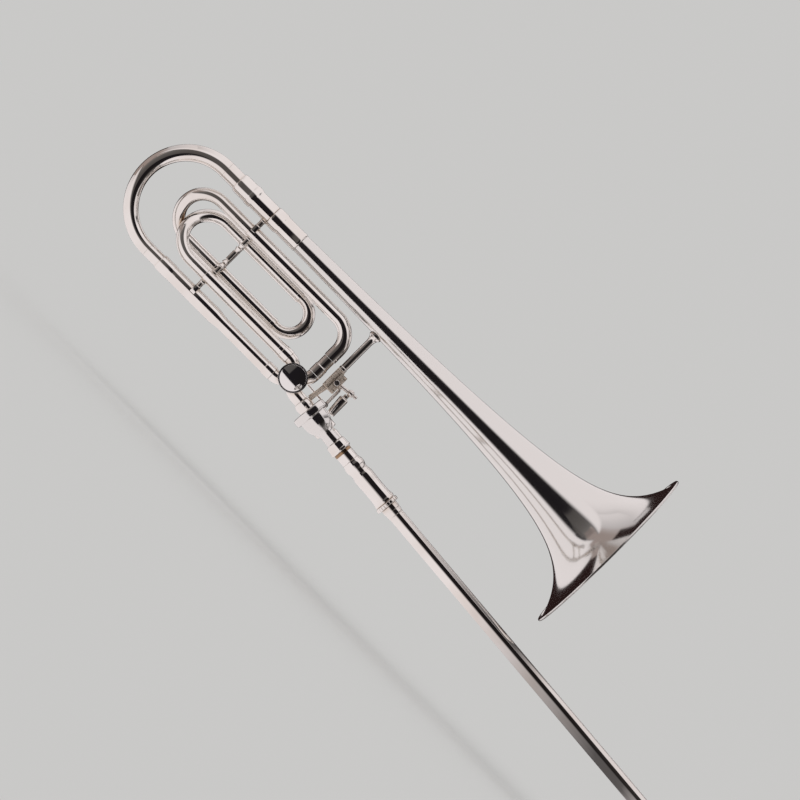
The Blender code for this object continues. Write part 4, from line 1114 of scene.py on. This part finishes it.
@dataclass
class ThumbLever:
    """The hand brace, the lever on its bracket, the spring and the linkage rod."""

    brace_x: float = 31.8
    foot_x: float = 27.6
    bracket_low: float = 17.9
    bracket_high: float = 44.4
    pivot_x: float = 38.1
    pivot_z: float = 30.4
    plane_y: float = 16.0
    end_x: float = 45.6
    end_z: float = 4.2
    ball_x: float = 57.1
    ball_z: float = 32.9
    rod_y: float = 22.0
    eye: float = 7.071

    def build_brace(self) -> None:
        """Build the tube from the bell to the bracket."""
        line = [(self.bracket_high + 0.1, 0), (self.bracket_high + 0.1, 4.6), (47.5, 4.6)]
        line += [(48.2, 4.1), (88.0, 4.1), (91.0, 4.5), (94.0, 5.6), (96.0, 7.6), (99.5, 7.6)]
        origin = (self.brace_x, 0, 0)
        tube = BELL_BENCH.turn("hand_brace", line + [(99.5, 0)], origin, Axis.UP, 48, 0.5)
        reach = Bell().radius(Bell().rim_x - self.brace_x) + 0.3
        cutter = BELL_BENCH.turn("bell_room", bar(10, 60, reach), (0, 0, 111.4), sides=72, ease=0)
        dress(carve(tube, cutter), TURNED_SILVER, "hand_brace_tube")

    def build_bracket(self) -> None:
        """Build the bracket on the neck, with its pivot boss."""
        low, high = self.bracket_low, self.bracket_high
        middle = (low + high) / 2
        size = (15.8, 9.0, high - low)
        bracket = BELL_BENCH.block("bracket", size, (35.2, 0.5, middle), 1.2)
        added = []
        for x, y, radius, top in ((30.3, -2.7, 2.6, high), (40.9, -2.8, 2.2, high - 2.6)):
            line = [(low + 0.3, 0), (low + 0.3, radius - 0.8), (low + 1.1, radius)]
            line += [(top - 1.0, radius), (top - 0.2, radius - 0.8), (top - 0.2, 0)]
            added.append(BELL_BENCH.turn("rib", line, (x, y, 0), Axis.UP, 40, 0.3))
        lean = math.atan2(self.brace_x - self.foot_x, low + 8.0)
        line = [(0, 0), (0, 4.6), (1.4, 4.4), (3.4, 3.2), (16.0, 2.8), (24.0, 3.2), (29.0, 3.4)]
        foot = (self.foot_x, 0, -8.0)
        added.append(BELL_BENCH.turn("stem", line + [(29.0, 0)], foot, Axis.UP, 40, 0.6, lean))
        origin = (self.pivot_x, 0, self.pivot_z)
        added.append(BELL_BENCH.turn("boss", bar(4, 8, 4), origin, Axis.ACROSS, 40))
        cutters = [BELL_BENCH.turn("axle_hole", bar(-9, 9, 2.15), origin, Axis.ACROSS, 32, 0)]
        cutters.append(BELL_BENCH.block("notch", (9.0, 12.0, 6.0), (41.4, 0, high + 0.6), 0.4))
        cutters.append(BELL_BENCH.block("recess", (1.5, 2.4, 22.0), (34.0, -4.0, middle), 0.3))
        for z in (low + 4.2, middle, high - 5.6):
            cutters.append(BELL_BENCH.block("groove", (20, 1.0, 0.9), (35.2, -4.6, z), 0))
        neck = bar(-96, -62, 10.55)
        cutters.append(SLIDE_BENCH.turn("neck_room", neck, (0, SIDE, 0), sides=72, ease=0))
        dress(carve(weld(bracket, *added), *cutters), CAST_SILVER, "lever_bracket")

    def build_lever(self) -> None:
        """Build the lever with its hub, arms, ball and studs."""
        plane, knee = self.plane_y, 28.4
        origin = (self.pivot_x, 0, self.pivot_z)
        foot = (self.end_x, 0, self.end_z)
        hub = shell_section([(13.6, 4.4), (19.2, 4.4)], [(13.6, 2.2), (19.2, 2.2)])
        lever = BELL_BENCH.turn("lever", hub, origin, Axis.ACROSS, 40, 0.4)
        path = [(self.pivot_x, plane - 0.4, knee), (self.end_x, plane - 1.4, knee)]
        path.append((self.end_x, plane + 1.0, self.end_z))
        arm = BELL_BENCH.pipe("lower_arm", path, [3.4], [1.85, 1.75, 1.7], 0, 24)
        eye = BELL_BENCH.turn("lever_eye", bar(14.2, 17.8, 3.2), foot, Axis.ACROSS, 32, 0.4)
        line = [(17, 0), (17, 1.4), (23.9, 1.4), (23.9, 2.6), (25.2, 2.6), (25.2, 0)]
        pin = BELL_BENCH.turn("lever_pin", line, foot, Axis.ACROSS, 32)
        path = [(self.pivot_x, plane, self.pivot_z), (self.ball_x, plane, self.ball_z)]
        upper = BELL_BENCH.pipe("upper_arm", path, [], [2.6, 1.9], 0, 32)
        knob = BELL_BENCH.ball("knob", 4.3, (self.ball_x, plane, self.ball_z))
        line = [(3.2, 0), (3.2, 1.6), (5.6, 1.6), (6.0, 2.2), (7.9, 2.2), (8.5, 1.5), (8.5, 0)]
        place = (self.ball_x, plane, self.ball_z + 0.4)
        screw = BELL_BENCH.turn("set_screw", line, place, Axis.ALONG, 32, 0.3)
        bore = BELL_BENCH.turn("lever_bore", bar(13, 20, 2.2), origin, Axis.ACROSS, 32, 0)
        dress(carve(weld(lever, arm, eye, pin, upper, knob, screw), bore), SATIN_SILVER, "thumb_lever")

    def build_small_parts(self) -> None:
        """Build the axle, the touch piece, the spring and the rod."""
        origin = (self.pivot_x, 0, self.pivot_z)
        line = [(-7.2, 0), (-7.2, 3.0), (-6.6, 3.6), (-5.3, 3.6), (-5.3, 2.0), (19.5, 2.0)]
        line += [(19.5, 3.4), (21.2, 3.4), (21.2, 0)]
        axle = BELL_BENCH.turn("lever_pivot", line, origin, Axis.ACROSS, 36, 0.2)
        slot = BELL_BENCH.block("slot", (8, 0.9, 1.0), (self.pivot_x, -7.3, self.pivot_z), 0)
        dress(carve(axle, slot), SATIN_SILVER, "lever_axle")
        line = [(0.4, 0), (0.4, 3.6), (1.4, 4.6), (12.0, 5.1), (23.0, 5.6), (24.4, 4.6)]
        line += [(24.8, 2.8), (28.6, 2.8), (28.6, 0)]
        place = (self.ball_x, self.plane_y, 0)
        lean = math.radians(-3)
        touch = BELL_BENCH.turn("touch", line, place, Axis.UP, 48, 0.6, lean)
        dress(touch, TURNED_SILVER, "touch_piece")
        coil = Spring((self.pivot_x, 8.7, self.pivot_z), 3.6, 0.4, 1.35, 3.0, 6.0, 6.0)
        dress(coil.wind(BELL_BENCH, "lever_coil"), STEEL, "lever_spring")
        start = Vector((self.eye, self.rod_y, self.eye))
        end = Vector((self.end_x, self.rod_y, self.end_z))
        path = [tuple(start.lerp(end, 0.07)), tuple(start.lerp(end, 0.93))]
        rod = BELL_BENCH.pipe("rod", path, [], [1.5], 0, 24)
        for label, centre in (("near", start), ("far", end)):
            ring = straight_shell(-1.6, 1.6, 3.4, 2.0)
            weld(rod, BELL_BENCH.turn("eye_" + label, ring, tuple(centre), Axis.ACROSS, 32, 0.3))
        dress(rod, SATIN_SILVER, "linkage_rod")

    def build(self) -> None:
        """Build everything that the left thumb works."""
        self.build_brace()
        self.build_bracket()
        self.build_lever()
        self.build_small_parts()


@dataclass
class Joinery:
    """The neck that takes the hand slide, its lock nut and tenon, and the mouthpipe."""

    neck_end: float = -92.0
    tube_bore: float = 6.95

    def knurl(self, nut: Object, station: float, radius: float, count: int) -> None:
        """Cut finger grooves round a nut.

        Args:
            nut: the nut.
            station: middle of the grooves on the slide's axis.
            radius: radius of the circle that their middles lie on.
            count: number of grooves.
        """
        cutters = []
        for index in range(count):
            angle = math.tau * index / count
            origin = (0, SIDE + radius * math.cos(angle), radius * math.sin(angle))
            line = bar(station - 6.5, station + 6.5, 0.8)
            cutters.append(SLIDE_BENCH.turn("groove", line, origin, Axis.ALONG, 16, 0))
        carve(nut, *cutters)

    def build_neck(self) -> None:
        """Build the bell receiver, the lock nut and the tenon."""
        origin = (0, SIDE, 0)
        crown = [(self.neck_end, 8.9), (-90.4, 9.9), (-88.0, 10.5), (-84.6, 10.5), (-82.6, 10.1)]
        crown += [(-81.0, 10.0)]
        outer = curve_through(crown, 4) + [(-71.4, 10.0), (-70.4, 10.5), (-68.2, 10.5)]
        outer += [(-68.0, 9.6), (-60.0, 9.6)]
        inner = [(self.neck_end, 7.0), (-88.0, 7.0), (-88.0, 7.9), (-60.0, 8.65)]
        neck = SLIDE_BENCH.turn("neck", shell_section(outer, inner), origin, ease=0.3)
        dress(neck, TURNED_SILVER, "bell_receiver")
        outer = [(-67.6, 12.2), (-66.4, 13.2), (-49.2, 13.2), (-48.0, 12.2)]
        inner = [(-67.6, 9.95), (-55.0, 9.95), (-55.0, 8.95), (-48.0, 8.95)]
        nut = SLIDE_BENCH.turn("lock_nut", shell_section(outer, inner), origin, sides=72, ease=0.3)
        self.knurl(nut, -57.8, 13.5, 20)
        dress(nut, TURNED_SILVER, "bell_lock_nut")
        outer = [(-87.0, 7.55), (-59.5, 8.3), (-59.5, 9.6), (-55.4, 9.6), (-55.4, 8.6)]
        outer += [(-46.0, 8.6), (-44.0, 9.8), (-6.8, 9.8)]
        inner = [(-87.0, self.tube_bore), (-6.8, self.tube_bore)]
        tenon = SLIDE_BENCH.turn("tenon", shell_section(outer, inner), origin, ease=0.3)
        dress(tenon, TURNED_SILVER, "slide_tenon")

    def build_mouthpiece(self) -> None:
        """Build the mouthpiece: rounded rim, bowl, throat and shank."""
        rim = [(-78.9, 15.4), (-79.5, 16.6), (-79.4, 18.0), (-78.6, 19.5), (-77.4, 20.0)]
        disc = [(-72.2, 20.0), (-71.1, 19.6), (-70.4, 18.6), (-70.3, 16.7)]
        bowl = [(-69.6, 16.0), (-66.0, 15.9), (-62.0, 15.5), (-58.0, 14.6), (-54.6, 13.0)]
        bowl += [(-51.4, 10.7), (-48.6, 8.9), (-45.0, 8.2), (-33.9, 8.4)]
        shank = [(-33.9, 6.95), (-8.6, 6.4), (-8.6, 5.5)]
        inside = [(-44.0, 3.4), (-53.0, 3.3), (-55.6, 4.3), (-59.5, 7.4), (-65.0, 10.2)]
        inside += [(-71.0, 11.9), (-76.2, 12.7), (-78.1, 13.7)]
        outer = curve_through(rim, 4) + curve_through(disc, 4) + curve_through(bowl, 5)
        line = outer + shank + curve_through(inside, 5)
        piece = SLIDE_BENCH.turn("cup_mouthpiece", line, (0, -SIDE, 0), sides=96, ease=0.2)
        dress(piece, SILVER, "mouthpiece")

    def build_mouthpipe(self) -> None:
        """Build the mouthpiece receiver and its brass ring."""
        origin = (0, -SIDE, 0)
        crown = [(-33.6, 9.8), (-32.6, 11.0), (-31.0, 11.4), (-25.6, 11.7), (-24.4, 12.35)]
        crown += [(-22.6, 12.35), (-21.5, 11.4)]
        outer = curve_through(crown, 3) + [(-21.3, 9.3), (-17.9, 9.3), (-17.9, 9.85), (-6.8, 9.85)]
        inner = [(-33.6, 7.3), (-6.8, 6.75)]
        line = shell_section(outer, inner)
        receiver = SLIDE_BENCH.turn("mouth_receiver", line, origin, ease=0.15)
        dress(receiver, TURNED_SILVER, "mouthpiece_receiver")
        line = straight_shell(-21.15, -18.0, 10.3, 9.45)
        ring = SLIDE_BENCH.turn("brass_ring", line, origin, ease=0.2)
        dress(ring, RING_BRASS, "receiver_brass_ring")
        redress(BRASS, "leadpipe")

    def build(self) -> None:
        """Build the neck, the mouthpiece and the mouthpipe."""
        self.build_neck()
        self.build_mouthpiece()
        self.build_mouthpipe()


@dataclass
class HandSlide:
    """The hand slide: barrels, inner tubes, outer tubes, braces and end crook."""

    barrel_start: float = -6.5
    barrel_end: float = 57.3
    inner_radius: float = 7.4
    inner_bore: float = 6.95
    inner_end: float = 720.0
    stocking: float = 7.5
    outer_radius: float = 8.35
    outer_bore: float = 7.8
    outer_start: float = 42.0
    outer_end: float = 733.0
    crook_leg: float = 16.0
    key_x: float = 739.0
    spout_x: float = 752.0
    key_z: float = -14.5

    def build_side(self, label: str, y: float) -> None:
        """Build one side of the slide.

        Args:
            label: upper or lower.
            y: the side's place across the instrument.
        """
        origin = (0, y, 0)
        crown = [(self.barrel_start, 9.9), (-4.5, 10.3), (-2.4, 11.1), (-0.6, 11.4), (1.6, 11.4)]
        crown += [(3.2, 11.1), (5.0, 10.4), (6.8, 10.0), (9.0, 9.9), (10.8, 10.2), (13.2, 10.9)]
        crown += [(17.0, 11.2), (25.0, 10.95), (34.0, 10.85), (42.0, 11.0), (46.5, 11.3)]
        outer = curve_through(crown, 4)
        outer += curve_through([(48.2, 11.6), (49.4, 12.1), (51.2, 12.2), (52.0, 11.7)], 3)
        outer += [(52.0, 9.9), (self.barrel_end, 9.9)]
        bore = self.inner_radius + 0.2
        inner = [(self.barrel_start, bore), (33.0, bore), (33.0, 9.0), (self.barrel_end, 9.0)]
        line = shell_section(outer, inner)
        barrel = SLIDE_BENCH.turn("barrel_" + label, line, origin, ease=0.2)
        dress(barrel, TURNED_SILVER, "cork_barrel_" + label)
        cork = SLIDE_BENCH.turn("cork_" + label, straight_shell(33.3, 41.6, 8.7, 7.65), origin)
        dress(cork, CORK, "barrel_cork_" + label)
        step = self.inner_end - 120
        outer = [(-6.3, self.inner_radius), (step, self.inner_radius), (step + 2, self.stocking)]
        outer += [(self.inner_end, self.stocking)]
        inner = [(-6.3, self.inner_bore), (self.inner_end, self.inner_bore)]
        tube = SLIDE_BENCH.turn("stocking_tube_" + label, shell_section(outer, inner), origin)
        dress(tube, SLIDE_CHROME, "inner_tube_" + label)
        radius = self.outer_radius
        outer = [(self.outer_start, radius), (57.6, radius), (57.6, 9.5), (63.4, 9.5), (64.2, 9.0)]
        outer += [(69.0, 9.0), (69.8, radius), (721.6, radius), (722.4, 9.0), (727.0, 9.0)]
        outer += [(727.6, 8.8), (728.4, 8.8), (729.0, 9.0), (self.outer_end, 9.0)]
        inner = [(self.outer_start, self.outer_bore), (self.outer_end, self.outer_bore)]
        line = shell_section(outer, inner)
        tube = SLIDE_BENCH.turn("slide_tube_" + label, line, origin, ease=0.2)
        dress(tube, TUBE_SILVER, "outer_tube_" + label)

    def cross_brace(self, node: str, station: float, tube: float, foot: float) -> None:
        """Build a brace between the two sides, with collars and a saddle at each end.

        Args:
            node: the CAD node that it stands for.
            station: its place along the slide.
            tube: outer radius of the tubes that it sits on.
            foot: radius of its collars.
        """
        near = -SIDE
        half = [(near, 0), (near, foot), (near + tube + 2.3, foot), (near + tube + 3.1, 5.2)]
        half += [(near + tube + 4.6, 4.6), (-9.0, 4.6), (-8.4, 4.3), (-7.8, 4.6)]
        line = half + [(-position, radius) for position, radius in reversed(half)]
        piece = SLIDE_BENCH.turn(node + "_rod", line, (station, 0, 0), Axis.ACROSS, 48, 0.3)
        for y in (-SIDE, SIDE):
            cutter = bar(station - 14, station + 14, tube + 0.02)
            carve(piece, SLIDE_BENCH.turn("saddle", cutter, (0, y, 0), sides=72, ease=0))
        dress(piece, TURNED_SILVER, node)

    def build_lock(self) -> None:
        """Build the ring that locks the slide, with its grip ribs."""
        outer = [(52.3, 12.8), (53.2, 13.7), (56.2, 13.7), (57.0, 12.9)]
        inner = [(52.3, 10.2), (57.0, 10.2)]
        line = shell_section(outer, inner)
        ring = SLIDE_BENCH.turn("lock_ring", line, (0, -SIDE, 0), sides=72, ease=0.3)
        cutters = []
        for index in range(24):
            angle = math.tau * index / 24
            origin = (0, -SIDE + 13.9 * math.cos(angle), 13.9 * math.sin(angle))
            cutters.append(SLIDE_BENCH.turn("rib", bar(51, 58, 0.6), origin, Axis.ALONG, 12, 0))
        dress(carve(ring, *cutters), TURNED_SILVER, "slide_lock_ring")

    def build_crook(self) -> None:
        """Build the end crook with its spout, lugs and bumper socket, and the bumper."""
        start = self.outer_end + 0.05
        tip = self.outer_end + self.crook_leg + SIDE
        corners = [(start, -SIDE, 0), (tip, -SIDE, 0), (tip, SIDE, 0), (start, SIDE, 0)]
        bends = [SIDE, SIDE]
        crook = SLIDE_BENCH.pipe("slide_crook", corners, bends, [self.outer_radius], 0, 56)
        z = self.key_z
        spout = [(z + 2.2, 0), (z + 2.2, 3.4), (-8.8, 3.8), (-6.8, 5.4), (-5, 5.4), (-5, 0)]
        added = [SLIDE_BENCH.turn("spout", spout, (self.spout_x, SIDE, 0), Axis.UP, 36)]
        for side in (-6.4, 6.4):
            size, place = (5.0, 1.6, 12.0), (self.key_x, SIDE + side, z + 3.2)
            added.append(SLIDE_BENCH.block("lug", size, place, 0.6))
        line = [(tip + 4, 0), (tip + 4, 6.4), (tip + 11.5, 6.4), (tip + 11.5, 8.2)]
        line += [(tip + 14, 8.2), (tip + 14, 0)]
        added.append(SLIDE_BENCH.turn("socket", line, ease=0.5))
        weld(crook, *added)
        longer = [(start - 2, -SIDE, 0), corners[1], corners[2], (start - 2, SIDE, 0)]
        bore = SLIDE_BENCH.pipe("crook_bore", longer, bends, [self.outer_bore - 0.2], 0, 40)
        hole = bar(z + 1, -3, 1.8)
        drain = SLIDE_BENCH.turn("drain", hole, (self.spout_x, SIDE, 0), Axis.UP, 24, 0)
        dress(carve(crook, bore, drain), TUBE_SILVER, "end_crook")
        base = tip + 14.3
        line = [(base, 0), (base, 8.4), (base + 7, 8.4), (base + 9.4, 7.6), (base + 10.8, 6.0)]
        line += [(base + 11.2, 4.6), (base + 11.2, 0)]
        bumper = SLIDE_BENCH.turn("bumper", line, sides=64, ease=0.5)
        dress(bumper, RUBBER, "rubber_bumper")

    def build_water_key(self) -> None:
        """Build the water key, its cork and its spring."""
        z = self.key_z
        pivot = (self.key_x, SIDE, z)
        key = SLIDE_BENCH.turn("water_key", bar(-5.2, 5.2, 1.7), pivot, Axis.ACROSS, 28)
        cup = [(z - 2.6, 0), (z - 2.6, 4.0), (z - 2.0, 4.4), (z - 0.6, 4.4), (z - 0.6, 0)]
        lean = -0.08
        arms = (
            ("arm", (13, 4, 1.6), (745, SIDE, z - 1.6), 0.0),
            ("tail", (20, 4, 1.6), (729, SIDE, z - 2.4), lean),
            ("paddle", (12, 9, 1.6), (714.5, SIDE, z - 3.4), lean),
        )
        parts = [SLIDE_BENCH.block(label, size, at, 0.5, turn) for label, size, at, turn in arms]
        parts.append(SLIDE_BENCH.turn("cup", cup, (self.spout_x, SIDE, 0), Axis.UP, 36))
        dress(weld(key, *parts), SILVER, "water_key_lever")
        line = bar(z - 0.3, z + 1.9, 3.8)
        pad = SLIDE_BENCH.turn("key_cork", line, (self.spout_x, SIDE, 0), Axis.UP, 36)
        dress(pad, CORK, "water_key_pad")
        coil = Spring((self.key_x, SIDE + 2.4, z), 3.0, 0.3, 1.2, 2.0, 4.0, 5.4)
        dress(coil.wind(SLIDE_BENCH, "key_coil"), STEEL, "water_key_spring")

    def build(self) -> None:
        """Build the whole hand slide."""
        self.build_side("upper", -SIDE)
        self.build_side("lower", SIDE)
        self.cross_brace("inner_brace", 0.0, 11.4, 7.5)
        self.cross_brace("outer_brace", 66.8, 9.5, 7.0)
        self.build_lock()
        self.build_crook()
        self.build_water_key()


def pale(level: float) -> Place:
    """Return the panels' faintly pink white at a level; 1 is full white."""
    return (level, 0.931 * level, 0.935 * level)


class Tone(Enum):
    """How a card looks along its length, as (share, colour) stops; 1 is white."""

    PANEL = (
        (0.0, pale(0.62)),
        (0.15, pale(0.78)),
        (0.28, pale(0.84)),
        (0.51, pale(0.84)),
        (0.536, pale(0.63)),
        (0.566, pale(0.33)),
        (0.59, pale(0.1)),
        (0.605, pale(0.1)),
        (0.63, pale(0.76)),
    )
    WALL = (
        (0.0, (0.33, 0.27, 0.25)),
        (0.36, (0.33, 0.27, 0.25)),
        (0.45, (0.43, 0.38, 0.37)),
        (0.52, pale(0.55)),
        (0.77, pale(0.69)),
        (1.0, pale(0.76)),
    )
    FRONT = (
        (0.0, (0.16, 0.15, 0.145)),
        (0.14, (0.118, 0.108, 0.104)),
        (0.33, (0.08, 0.072, 0.069)),
        (0.345, (0.012, 0.01, 0.012)),
        (0.6, (0.012, 0.01, 0.01)),
        (1.0, (0.11, 0.1, 0.095)),
    )
    PALE = ((0.0, pale(0.6)),)
    DUSK = ((0.0, (0.22, 0.18, 0.17)),)
    DIM = ((0.0, (0.17, 0.155, 0.15)),)
    BROWN = ((0.0, (0.019, 0.009, 0.0085)),)
    BLACK = ((0.0, (0.012, 0.01, 0.012)),)


@dataclass
class Studio:
    """The floor, the panels and flags round the instrument, and the camera.

    Two long soft panels run along the instrument just outside the picture, with black
    cloth between them in front, which is what gives its tubes their dark stripe.
    """

    aim: Place = (-0.0185, 0.0445, 0.0423)
    distance: float = 4.7
    shift: Point = (0.0375, 0.033)
    picture_width: float = 0.8856
    floor_z: float = -0.135
    floor_colour: Place = (0.69, 0.685, 0.675)
    sky: float = 0.72
    sun: float = 0.6
    sun_tilt: Point = (-38.0, -30.0)
    left: float = -1.3
    right: float = 1.6
    front: float = -0.75
    back: float = 1.7
    top: float = 1.3
    corner: float = -0.89

    @staticmethod
    def paint(tone: Tone, fade: Point) -> Material:
        """Return a card's material, made on first use.

        Args:
            tone: how it looks along its length.
            fade: share of its width over which each long edge fades to nothing.

        Returns:
            The glowing material.
        """
        name = "_".join([tone.name.lower()] + [str(round(100 * share)) for share in fade])
        found = bpy.data.materials.get(name)
        if found:
            return found
        material = bpy.data.materials.new(name)
        desk = NodeDesk(material)
        parts = desk.node("ShaderNodeSeparateXYZ")
        desk.link(desk.coords, parts.inputs[0])
        ramp = desk.node("ShaderNodeValToRGB")
        desk.link(desk.spread(parts.outputs["X"], -0.5, 0.5, (0.0, 1.0)), ramp.inputs["Fac"])
        stops = ramp.color_ramp.elements
        while len(stops) > 1:
            stops.remove(stops[0])
        for index, (share, colour) in enumerate(tone.value):
            stop = stops.new(share) if index else stops[0]
            stop.position = share
            stop.color = (*colour, 1)
        level = desk.node("ShaderNodeMath")
        level.operation = "MULTIPLY"
        ends = ((-0.5, fade[0] - 0.5), (0.5, 0.5 - fade[1]))
        for socket, share, (edge, full) in zip(level.inputs, fade, ends):
            socket.default_value = 1.0
            if share:
                desk.link(desk.spread(parts.outputs["Y"], edge, full, (0.0, 1.0)), socket)
        desk.shader.inputs["Base Color"].default_value = (0, 0, 0, 1)
        desk.shader.inputs["Specular IOR Level"].default_value = 0.0
        desk.link(ramp.outputs["Color"], desk.shader.inputs["Emission Color"])
        desk.link(level.outputs[0], desk.shader.inputs["Emission Strength"])
        return material

    def card(
        self,
        name: str,
        tone: Tone,
        size: Point,
        centre: Place,
        turn: Place,
        fade: Point = (0.0, 0.0),
    ) -> None:
        """Hang a card that only polished metal shows.

        Args:
            name: name of the card.
            tone: how it looks.
            size: its length and its width in metres.
            centre: its middle in metres.
            turn: its rotation in degrees.
            fade: share of its width over which each long edge fades.
        """
        leave_edit_mode()
        rotation = [math.radians(angle) for angle in turn]
        bpy.ops.mesh.primitive_plane_add(size=1, location=centre, rotation=rotation)
        card = bpy.context.object
        card.name = name
        card.scale = (*size, 1)
        card.visible_camera = False
        card.visible_diffuse = False
        card.visible_shadow = False
        card.data.materials.append(self.paint(tone, fade))

    def span(
        self,
        name: str,
        tone: Tone,
        ends: Point,
        low: Point,
        high: Point,
        fade: Point = (0.0, 0.0),
    ) -> None:
        """Hang a card along the instrument between two lines.

        Args:
            name: name of the card.
            tone: how it looks.
            ends: where it starts and ends along X.
            low: the (y, z) of its first edge.
            high: the (y, z) of its second edge.
            fade: share of its width over which each of these edges fades.
        """
        length = ends[1] - ends[0]
        middle = ((low[0] + high[0]) / 2, (low[1] + high[1]) / 2)
        width = math.hypot(high[0] - low[0], high[1] - low[1])
        pitch = math.degrees(math.atan2(high[1] - low[1], high[0] - low[0]))
        centre = ((ends[0] + ends[1]) / 2, *middle)
        self.card(name, tone, (length, width), centre, (pitch, 0, 0), fade)

    def hang_cards(self) -> None:
        """Hang the soft panels and the flags round the instrument."""
        left, right, floor, top = self.left, self.right, self.floor_z, self.top
        front, back, corner = self.front, self.back, self.corner
        whole = (left, right)
        middle, length = (left + right) / 2, right - left
        place = (middle, -0.356, 0.693)
        self.card("upper_panel", Tone.PANEL, (length, 1.1), place, (111.1, 3.2, 0), (0.055, 0))
        place = (middle, -0.127, -0.071)
        self.card("lower_panel", Tone.PANEL, (length, 0.153), place, (110.3, 3.0, 0), (0, 0.25))
        place = (-0.16, -0.146, 0.006)
        self.card("edge_flag", Tone.BLACK, (0.28, 0.034), place, (110.3, 3.0, 0))
        self.span("roof_panel", Tone.PANEL, whole, (-0.62, top), (0.5, top))
        self.span("back_panel", Tone.PANEL, whole, (0.5, top), (1.405, 0.632), (0, 0.05))
        bright, dark = floor + 0.006, floor + 0.003
        self.span("floor_panel", Tone.PANEL, whole, (-0.13, bright), (0.607, bright), (0, 0.04))
        self.span("front_floor", Tone.FRONT, whole, (front, dark), (-0.13, dark))
        self.span("back_floor", Tone.BROWN, whole, (-0.16, dark), (back, dark))
        self.span("front_card", Tone.FRONT, whole, (front, floor), (front, top))
        self.span("back_card", Tone.BROWN, (corner, right), (back, floor), (back, 0.9))
        self.span("corner_low", Tone.BROWN, (left, corner), (back, floor), (back, 0.6))
        self.span("corner_high", Tone.PALE, (left, corner), (back, 0.6), (back, 0.9))
        across, height = (front + back) / 2, (top + floor) / 2
        size = (back - front, top - floor)
        self.card("right_card", Tone.DIM, size, (right, across, height), (90, 0, 90))
        place = (left - 0.01, across, height)
        self.card("left_wall", Tone.WALL, (size[1], size[0]), place, (0, -90, 0))
        for name, tone, low, high, shelf in (
            ("left_front", Tone.DUSK, front, -0.45, 0.3),
            ("left_back", Tone.BROWN, 0.78, back, 0.53),
        ):
            size, place = (high - low, shelf - floor), (left, (low + high) / 2, (shelf + floor) / 2)
            self.card(name, tone, size, place, (90, 0, 90))

    def build_floor(self) -> None:
        """Lay a plain pale floor."""
        leave_edit_mode()
        bpy.ops.mesh.primitive_plane_add(size=400, location=(0, 0, self.floor_z))
        floor = bpy.context.object
        floor.name = "floor"
        material = bpy.data.materials.new("pale_floor")
        desk = NodeDesk(material)
        desk.shader.inputs["Base Color"].default_value = (*self.floor_colour, 1)
        desk.shader.inputs["Roughness"].default_value = 1.0
        desk.shader.inputs["Specular IOR Level"].default_value = 0.0
        floor.data.materials.append(material)

    def build_light(self) -> None:
        """Fill the room with even light and one soft key light from above."""
        world = bpy.data.worlds.new("studio")
        bpy.context.scene.world = world
        world.use_nodes = True
        tree = world.node_tree
        background = tree.nodes["Background"]
        background.inputs["Color"].default_value = (1, 1, 1, 1)
        background.inputs["Strength"].default_value = self.sky
        tilt = [math.radians(angle) for angle in self.sun_tilt]
        slant = math.cos(tilt[0]) * math.cos(tilt[1])
        level = self.sky + self.sun * slant / math.pi
        backdrop = tree.nodes.new("ShaderNodeBackground")
        backdrop.inputs["Color"].default_value = (*(part * level for part in self.floor_colour), 1)
        path = tree.nodes.new("ShaderNodeLightPath")
        seen = tree.nodes.new("ShaderNodeMath")
        seen.operation = "MAXIMUM"
        tree.links.new(path.outputs["Is Camera Ray"], seen.inputs[0])
        tree.links.new(path.outputs["Is Glossy Ray"], seen.inputs[1])
        clear = tree.nodes.new("ShaderNodeMath")
        clear.operation = "MAXIMUM"
        tree.links.new(seen.outputs[0], clear.inputs[0])
        tree.links.new(path.outputs["Is Transmission Ray"], clear.inputs[1])
        mix = tree.nodes.new("ShaderNodeMixShader")
        tree.links.new(clear.outputs[0], mix.inputs[0])
        tree.links.new(background.outputs[0], mix.inputs[1])
        tree.links.new(backdrop.outputs[0], mix.inputs[2])
        tree.links.new(mix.outputs[0], tree.nodes["World Output"].inputs["Surface"])
        leave_edit_mode()
        rotation = (-tilt[0], tilt[1], 0)
        bpy.ops.object.light_add(type="SUN", location=(0, 0, 3), rotation=rotation)
        key = bpy.context.object
        key.name = "key_light"
        key.data.energy = self.sun
        key.data.angle = math.radians(40)
        key.visible_glossy = False

    def build_camera(self) -> None:
        """Set up a long lens, rolled so that the instrument stands as in the photograph."""
        data = bpy.data.cameras.new("camera")
        camera = bpy.data.objects.new("camera", data)
        bpy.context.scene.collection.objects.link(camera)
        half = math.sqrt(0.5)
        right, up, back = Vector((half, 0, half)), Vector((-half, 0, half)), Vector((0, -1, 0))
        turn = Matrix((right, up, back)).transposed().to_4x4()
        camera.matrix_world = Matrix.Translation(Vector(self.aim) + back * self.distance) @ turn
        data.sensor_width = 36.0
        data.lens = data.sensor_width * self.distance / self.picture_width
        data.shift_x, data.shift_y = self.shift
        data.clip_end = 500.0
        bpy.context.scene.camera = camera

    def build(self) -> None:
        """Build the room, the light and the camera."""
        bpy.context.scene.view_settings.view_transform = "Standard"
        self.build_floor()
        self.build_light()
        self.hang_cards()
        self.build_camera()


def main() -> None:
    """Build the instrument in order, then the studio round it."""
    logging.basicConfig(level=logging.INFO, format="%(message)s")
    leave_edit_mode()
    for section in (Bell, TuningSlide, Valve, FAttachment, ThumbLever, Joinery, HandSlide):
        LOG.info("building %s", section.__name__)
        section().build()
    Studio().build()
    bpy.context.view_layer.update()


if __name__ == "__main__":
    main()
